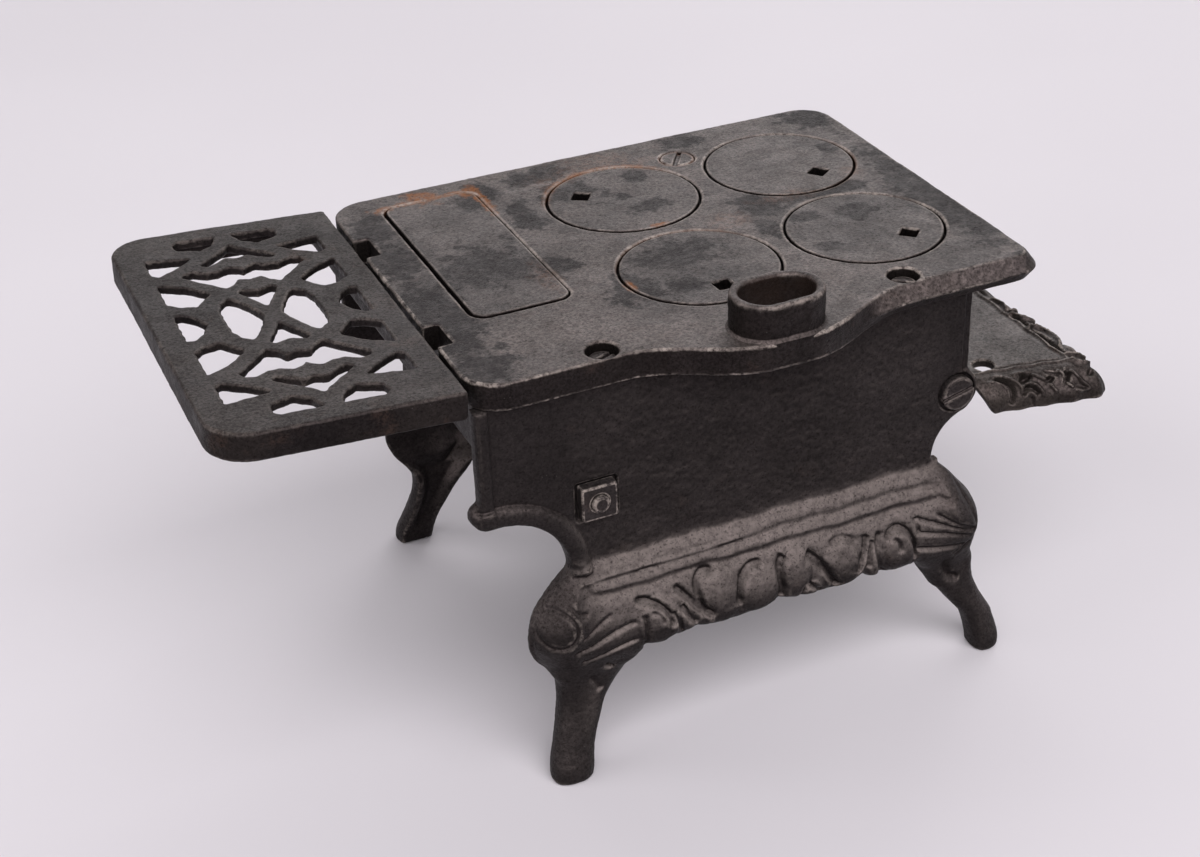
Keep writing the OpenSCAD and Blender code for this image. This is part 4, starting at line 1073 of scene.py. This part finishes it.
def iron_tone_and_side_shade(m, up, fine, mottle, painted_side_shade):
    """Lightness of bare iron: mottled on top and streaked, with painted shade that darkens upright faces."""
    mottled = m.times(m.span(fine, 0.32, 0.68, -mottle, mottle), m.span(up, 0.1, 0.8, 0.35, 1.0))
    streak = m.noise(2.2, 4, 0.6, stretch=(0.35, 1.4, 1.0), shift=(3, 1, 7))
    tone = m.times(m.math("ADD", mottled, 1.0), m.span(streak, 0.35, 0.65, 0.94, 1.06))
    return m.times(tone, m.span(up, 0.15, 0.55, painted_side_shade, 1.0))


def lay_dust(m, up, amount):
    """Pale dust on faces that look up, mostly between the knees."""
    settle = m.times(m.span(up, -0.08, 0.55), m.span(m.noise(2.0, 6, 0.8), 0.30, 0.62, 0.35, 1.0))
    from_middle = m.math("ABSOLUTE", m.math("SUBTRACT", m.axis(m.point, "X"), MIDDLE[0]))
    m.lay(m.times(settle, m.span(from_middle, 43, 54, 1.0, 0.06), amount), DUST)


def lay_stains_and_painted_shade(m, up, amount, top_marks_and_shade):
    """Dark, dull stains on level faces; on the top also painted shade along the end margins and over broad
    faint patches.
    """
    stain_and_shade = m.times(m.span(m.noise(17, 2, 0.45, shift=(11, 4, 2)), 0.57, 0.60), 0.35)
    if top_marks_and_shade:
        # on the top: stains, with painted shade along the end margins and over broad faint patches
        stain_and_shade = m.math("MAXIMUM", stain_and_shade, m.ovals(TOP_STAINS_AND_MARGIN_SHADE, 0.30, 0.8))
        stain_and_shade = m.math("MAXIMUM", stain_and_shade, m.times(m.ovals(TOP_PAINTED_SHADE, 0.30, 0.8), 0.55))
        stain_and_shade = m.times(stain_and_shade, m.span(m.noise(2.6, 5, 0.7, shift=(2, 8, 8)), 0.3, 0.6, 0.65, 1.0))
    m.lay(m.times(stain_and_shade, amount, m.span(up, 0.5, 0.9)), STAIN_AND_SHADE_DARK, 0.22)


def lay_rust(m):
    """Rust patches of the top, and rust round the lids and the front bolt."""
    speckle = m.span(m.noise(1.7, 5, 0.75, shift=(8, 2, 4)), 0.40, 0.60)
    m.lay(m.times(m.ovals(TOP_RUST, 0.35, 0.7), m.span(speckle, 0, 1, 0.45, 0.95)), RUST, 0.3)
    m.lay(m.times(m.ovals(TOP_RUST_FAINT, 0.5, 0.7), m.span(speckle, 0, 1, 0.05, 0.42)), RUST_THIN)
    for centre, radius, width, strength, way in LID_ARCS:
        arc = m.times(m.near(centre, radius, width), m.facing(centre, way))
        m.lay(m.times(arc, m.span(speckle, 0, 1, 0.25, strength)), RUST, 0.4)
    centre, radius, width, strength = BOLT_RING
    m.lay(m.times(m.near(centre, radius, width), strength), RUST_RING)


def lay_gap_shade_and_rims(m):
    """Painted shade in the gaps round the lids and the cover, and bright worn rims on both sides of them."""
    scuff = m.span(m.noise(9, 5, 0.7, shift=(3, 9, 9)), 0.38, 0.60, 0.1, 1.0)
    gaps = []
    for lid in LID_TURNS.values():
        far = m.away(lid[:2])
        gaps.append((m.math("SUBTRACT", far, HOLE_R - LID_GAP), m.math("SUBTRACT", far, HOLE_R)))
    tight = (COVER_SIZE[0] - 2 * LID_GAP, COVER_SIZE[1] - 2 * LID_GAP)
    gaps.append((m.rounded(COVER_LIES, tight, COVER_R - LID_GAP), m.rounded(COVER_AT, COVER_SIZE, COVER_R)))
    for lid_side, plate_side in gaps:
        rim = m.times(m.span(plate_side, 0.05, 0.35), m.span(plate_side, 0.95, 0.5))
        m.lay(m.times(rim, scuff, 0.32), BRIGHT_IRON)
        rim = m.times(m.span(lid_side, -0.05, -0.3), m.span(lid_side, -0.75, -0.4))
        m.lay(m.times(rim, scuff, 0.14), BRIGHT_IRON)
        # painted shade: the narrow gap itself, darkened nearly to black and dulled
        gap = m.times(m.span(lid_side, -0.25, 0.0), m.span(plate_side, 0.2, -0.05))
        m.lay(m.times(gap, 0.95), SPECK_AND_SHADE_BLACK, 0.15)


def lay_collar(m, scrape):
    """Bright edges along the mouth of the collar, and a sooty bore."""
    wall = m.rounded(COLLAR_AT, COLLAR_SIZE, COLLAR_R)
    outer, inner = (m.math("ABSOLUTE", m.math("ADD", wall, depth)) for depth in (0.25, COLLAR_WALL - 0.1))
    rim = m.math("MAXIMUM", m.span(outer, 0.6, 0.15), m.span(inner, 0.6, 0.15))
    mouth = STOVE_H + COLLAR_H
    rim = m.times(rim, m.span(m.axis(m.point, "Z"), mouth - 1.5, mouth - 0.6))
    m.lay(m.times(rim, scrape, 0.6), BRIGHT_IRON)
    bore = m.away(COLLAR_AT, (2 / (COLLAR_SIZE[0] - 2.6), 2 / (COLLAR_SIZE[1] - 2.6), 0))
    m.lay(m.span(bore, 1.02, 0.93), FLUE_SOOT)


def cast_iron(name, base, base_alt, painted_side_shade=0.5, mottle=0.5, gloss=1.0, stains_and_shade=0.0, dust=0.0, wear=0.5,
              rust=0.2, rough=0.46, grain_depth=0.10, top_marks_and_shade=False, bend_wear_and_crease_shade=True):
    """Cast iron with cloudy tone, dust, stains, rust, worn edges and a sandy grain, and painted shade on
    upright faces, in creases, in the gaps of the top and over broad patches of the top.
    """
    m = Shader(name)
    up = m.axis(m.normal, "Z")
    cloud = m.span(m.noise(21, 6, 0.62), 0.36, 0.64)
    fine = m.noise(0.75, 6, 0.72)
    m.colour = m.vector("SCALE", m.mix(cloud, base, base_alt), iron_tone_and_side_shade(m, up, fine, mottle, painted_side_shade))
    broad = m.span(m.noise(15, 6, 0.62, shift=(7, 7, 2)), 0.35, 0.65, 0.66, 1.24)
    m.shine = m.times(m.span(fine, 0.32, 0.68, 0.26 * gloss, 0.78 * gloss), broad)
    if dust:
        lay_dust(m, up, dust)
    patch = m.times(m.span(m.noise(9, 5, 0.65, shift=(5, 9, 1)), 0.58, 0.72), m.span(fine, 0.35, 0.6))
    m.lay(m.times(patch, rust), RUST_DARK)
    if stains_and_shade:
        lay_stains_and_painted_shade(m, up, stains_and_shade, top_marks_and_shade)
    if top_marks_and_shade:
        lay_rust(m)
    scrape = m.times(m.span(m.noise(1.5, 4, 0.7, shift=(1, 5, 3)), 0.36, 0.62),
                     m.span(m.noise(14, 3, 0.6, shift=(9, 2, 5)), 0.40, 0.60, 0.15, 1.0))
    edge = m.span(m.bend(), 0.35, 1.05) if bend_wear_and_crease_shade else m.rounded_edge(0.5)
    m.lay(m.times(edge, scrape, wear), BRIGHT_IRON)
    # painted shade: creases, where the surface bends inward, darkened towards black
    if bend_wear_and_crease_shade:
        m.lay(m.times(m.span(m.bend(), -0.25, -1.0), 0.45), SPECK_AND_SHADE_BLACK)
    fleck = m.times(m.span(m.spots(1.3), 0.10, 0.05), m.span(m.noise(6, 3, shift=(4, 4, 9)), 0.56, 0.64))
    m.lay(m.times(fleck, 0.15), FLECK)
    dark_speck = m.span(m.noise(0.6, 2, 0.5, shift=(1, 1, 8)), 0.58, 0.68)
    m.lay(m.times(dark_speck, 0.55), SPECK_AND_SHADE_BLACK)
    m.shine = m.times(m.shine, m.span(dark_speck, 0, 1, 1.0, 0.45))
    if top_marks_and_shade:
        lay_gap_shade_and_rims(m)
        lay_collar(m, scrape)
    roughness = m.span(m.noise(5, 5, 0.65), 0.3, 0.7, rough - 0.06, rough + 0.08)
    height = m.math("ADD", fine, m.times(m.noise(0.45, 3, 0.6, shift=(6, 6, 6)), 0.45))
    pits = m.times(m.span(m.spots(2.6, (3, 3, 1)), 0.20, 0.05), cloud, 0.8)
    m.feed(m.bsdf.inputs["Base Color"], m.colour)
    m.feed(m.bsdf.inputs["Roughness"], roughness)
    m.feed(m.bsdf.inputs["Specular IOR Level"], m.times(m.shine, m.span(up, 0.2, 0.6, 0.28, 1.0)))
    m.feed(m.bsdf.inputs["Specular Tint"], SHEEN)
    m.feed(m.bsdf.inputs["Normal"], m.bump(m.math("SUBTRACT", height, pits), grain_depth))
    return m.material


# Each recipe's share for upright faces is painted shade: their colour is scaled down by it.
IRONS = {
    "top_iron": dict(base=(0.052, 0.042, 0.039), base_alt=(0.030, 0.025, 0.024), painted_side_shade=0.16, gloss=1.38,
                     stains_and_shade=1.0, wear=0.85, rust=0.35, rough=0.43, grain_depth=0.15, top_marks_and_shade=True),
    "lid_iron": dict(base=(0.044, 0.036, 0.034), base_alt=(0.028, 0.0235, 0.023), painted_side_shade=0.08, gloss=1.25,
                     stains_and_shade=0.9, wear=0.5, rust=0.25, rough=0.43, grain_depth=0.12, top_marks_and_shade=True),
    "body_iron": dict(base=(0.015, 0.0127, 0.0127), base_alt=(0.019, 0.016, 0.016), painted_side_shade=0.85,
                      mottle=0.6, gloss=0.85, dust=0.96, wear=0.26, rust=0.10, rough=0.48, grain_depth=0.13),
    "shelf_iron": dict(base=(0.024, 0.0196, 0.0185), base_alt=(0.015, 0.0126, 0.0128), painted_side_shade=0.72,
                       gloss=0.58, stains_and_shade=0.5, wear=0.20, rust=0.4, rough=0.46, grain_depth=0.12),
    "apron_iron": dict(base=(0.034, 0.028, 0.025), base_alt=(0.022, 0.018, 0.0165), painted_side_shade=0.8,
                       gloss=0.85, wear=0.6, rust=0.4, rough=0.44, grain_depth=0.07),
    "fastener_steel": dict(base=(0.024, 0.020, 0.020), base_alt=(0.032, 0.027, 0.027), painted_side_shade=0.8,
                           wear=0.7, rust=0.3, rough=0.42, grain_depth=0.05),
}
metal = {name: cast_iron(name, **recipe) for name, recipe in IRONS.items()}

build_top_plate(metal["top_iron"])
for lid_name in LID_TURNS:
    build_lid(lid_name, metal["lid_iron"])
build_cover(metal["lid_iron"])
build_rear_casting(metal["body_iron"])
build_front_casting(metal["body_iron"])
build_shelf(metal["shelf_iron"])
build_apron(metal["apron_iron"])
build_tie_bolts(metal["fastener_steel"])
build_tie_nuts(metal["fastener_steel"])
build_plate_screws(metal["fastener_steel"])
build_front_bolt(metal["top_iron"])

# ---------- CAD nodes that stay: inner walls, grate, doors, knobs and pins ----------

def dress_cad_nodes():
    slots = {p["node"]: p["material_slot"] for p in frame["record"]["subparts"]}
    plain = {}
    for name, obj in frame["nodes"].items():
        if obj.hide_render or name not in slots:
            continue
        slot = slots[name]
        if slot not in plain:
            plain[slot] = cast_iron(slot + "_plain", bend_wear_and_crease_shade=False, **IRONS[slot])
        obj.data.materials.clear()
        obj.data.materials.append(plain[slot])
        soft = obj.modifiers.new("soft edges", "BEVEL")
        soft.width = 0.25 * MM
        soft.segments = 2
        soft.limit_method = "ANGLE"
        soft.angle_limit = math.radians(40)


dress_cad_nodes()

# ---------- floor, light and camera ----------

PAPER = (0.70, 0.655, 0.70)
PAPER_ALT = (0.725, 0.68, 0.725)
BACKDROP = (0.74, 0.70, 0.75)
FLOOR = 6.0
# Lamps: name, place, size and watts.
LAMPS = [
    ("back", (-0.65, -1.70, 1.15), (2.3, 1.2), 15),
    ("left", (1.65, -0.45, 1.15), (1.4, 1.4), 13),
    ("right", (-1.5, -1.0, 1.3), (1.4, 1.4), 10),
    ("front", (-0.1, 1.4, 1.7), (2.4, 1.8), 48),
    ("left_front", (1.5, 1.0, 1.3), (1.0, 1.0), 6),
]
LIT_POINT = Vector((0, 0, 0.06))
ROOM_LIGHT = (0.92, 0.90, 0.95, 1.0)
ROOM_STRENGTH = 0.08
# The camera that sees the stove as the photo does.
CAMERA_AT = Vector((172.860, 401.725, 322.968)) * MM
CAMERA_AHEAD = Vector((-0.33134, -0.78856, -0.51808)).normalized()
CAMERA_ROLL = math.radians(-2.46481)
SENSOR = 36.0
LENS = 59.256


def build_floor():
    corners = [(x, y, 0) for x, y in ((-FLOOR, -FLOOR), (FLOOR, -FLOOR), (FLOOR, FLOOR), (-FLOOR, FLOOR))]
    mesh = bpy.data.meshes.new("floor")
    mesh.from_pydata(corners, [], [(0, 1, 2, 3)])
    floor = bpy.data.objects.new("floor", mesh)
    bpy.context.scene.collection.objects.link(floor)
    m = Shader("backdrop_paper")
    tone = m.span(m.noise(420, 3, 0.5), 0.35, 0.65)
    # beyond the reach of the lamps the paper turns into an evenly lit backdrop, for the camera only
    far = m.span(m.away((0, 0)), 850, 1800)
    paper = m.vector("SCALE", m.mix(tone, PAPER, PAPER_ALT), m.math("SUBTRACT", 1.0, far))
    seen = m.nodes.new("ShaderNodeLightPath").outputs["Is Camera Ray"]
    m.feed(m.bsdf.inputs["Base Color"], paper)
    m.feed(m.bsdf.inputs["Emission Color"], (*BACKDROP, 1.0))
    m.feed(m.bsdf.inputs["Emission Strength"], m.times(far, seen))
    m.feed(m.bsdf.inputs["Specular IOR Level"], m.span(far, 0, 1, 0.5, 0.0))
    m.feed(m.bsdf.inputs["Roughness"], 0.75)
    mesh.materials.append(m.material)


def build_light():
    for name, at, size, watts in LAMPS:
        light = bpy.data.lights.new(name, "AREA")
        light.shape = "RECTANGLE"
        light.size, light.size_y = size
        light.energy = watts
        lamp = bpy.data.objects.new(name, light)
        bpy.context.scene.collection.objects.link(lamp)
        lamp.location = at
        lamp.rotation_euler = (LIT_POINT - Vector(at)).to_track_quat("-Z", "Y").to_euler()


def build_world():
    """A dim even room light; the camera sees the pale backdrop in its place."""
    world = bpy.data.worlds.new("room")
    bpy.context.scene.world = world
    world.use_nodes = True
    nodes, links = world.node_tree.nodes, world.node_tree.links
    room = nodes["Background"]
    room.inputs["Color"].default_value = ROOM_LIGHT
    room.inputs["Strength"].default_value = ROOM_STRENGTH
    backdrop = nodes.new("ShaderNodeBackground")
    backdrop.inputs["Color"].default_value = (*BACKDROP, 1.0)
    either = nodes.new("ShaderNodeMixShader")
    links.new(nodes.new("ShaderNodeLightPath").outputs["Is Camera Ray"], either.inputs[0])
    links.new(room.outputs[0], either.inputs[1])
    links.new(backdrop.outputs[0], either.inputs[2])
    links.new(either.outputs[0], nodes["World Output"].inputs["Surface"])


def build_camera():
    flat = CAMERA_AHEAD.cross(Vector((0, 0, 1))).normalized()
    upright = flat.cross(CAMERA_AHEAD)
    right = flat * math.cos(CAMERA_ROLL) + upright * math.sin(CAMERA_ROLL)
    up = upright * math.cos(CAMERA_ROLL) - flat * math.sin(CAMERA_ROLL)
    data = bpy.data.cameras.new("camera")
    data.sensor_width = SENSOR
    data.lens = LENS
    data.clip_start = 0.01
    camera = bpy.data.objects.new("camera", data)
    bpy.context.scene.collection.objects.link(camera)
    turn = Matrix((right, up, -CAMERA_AHEAD)).transposed().to_4x4()
    camera.matrix_world = Matrix.Translation(CAMERA_AT) @ turn
    bpy.context.scene.camera = camera


build_floor()
build_light()
build_world()
build_camera()
bpy.context.scene.view_settings.view_transform = "Standard"
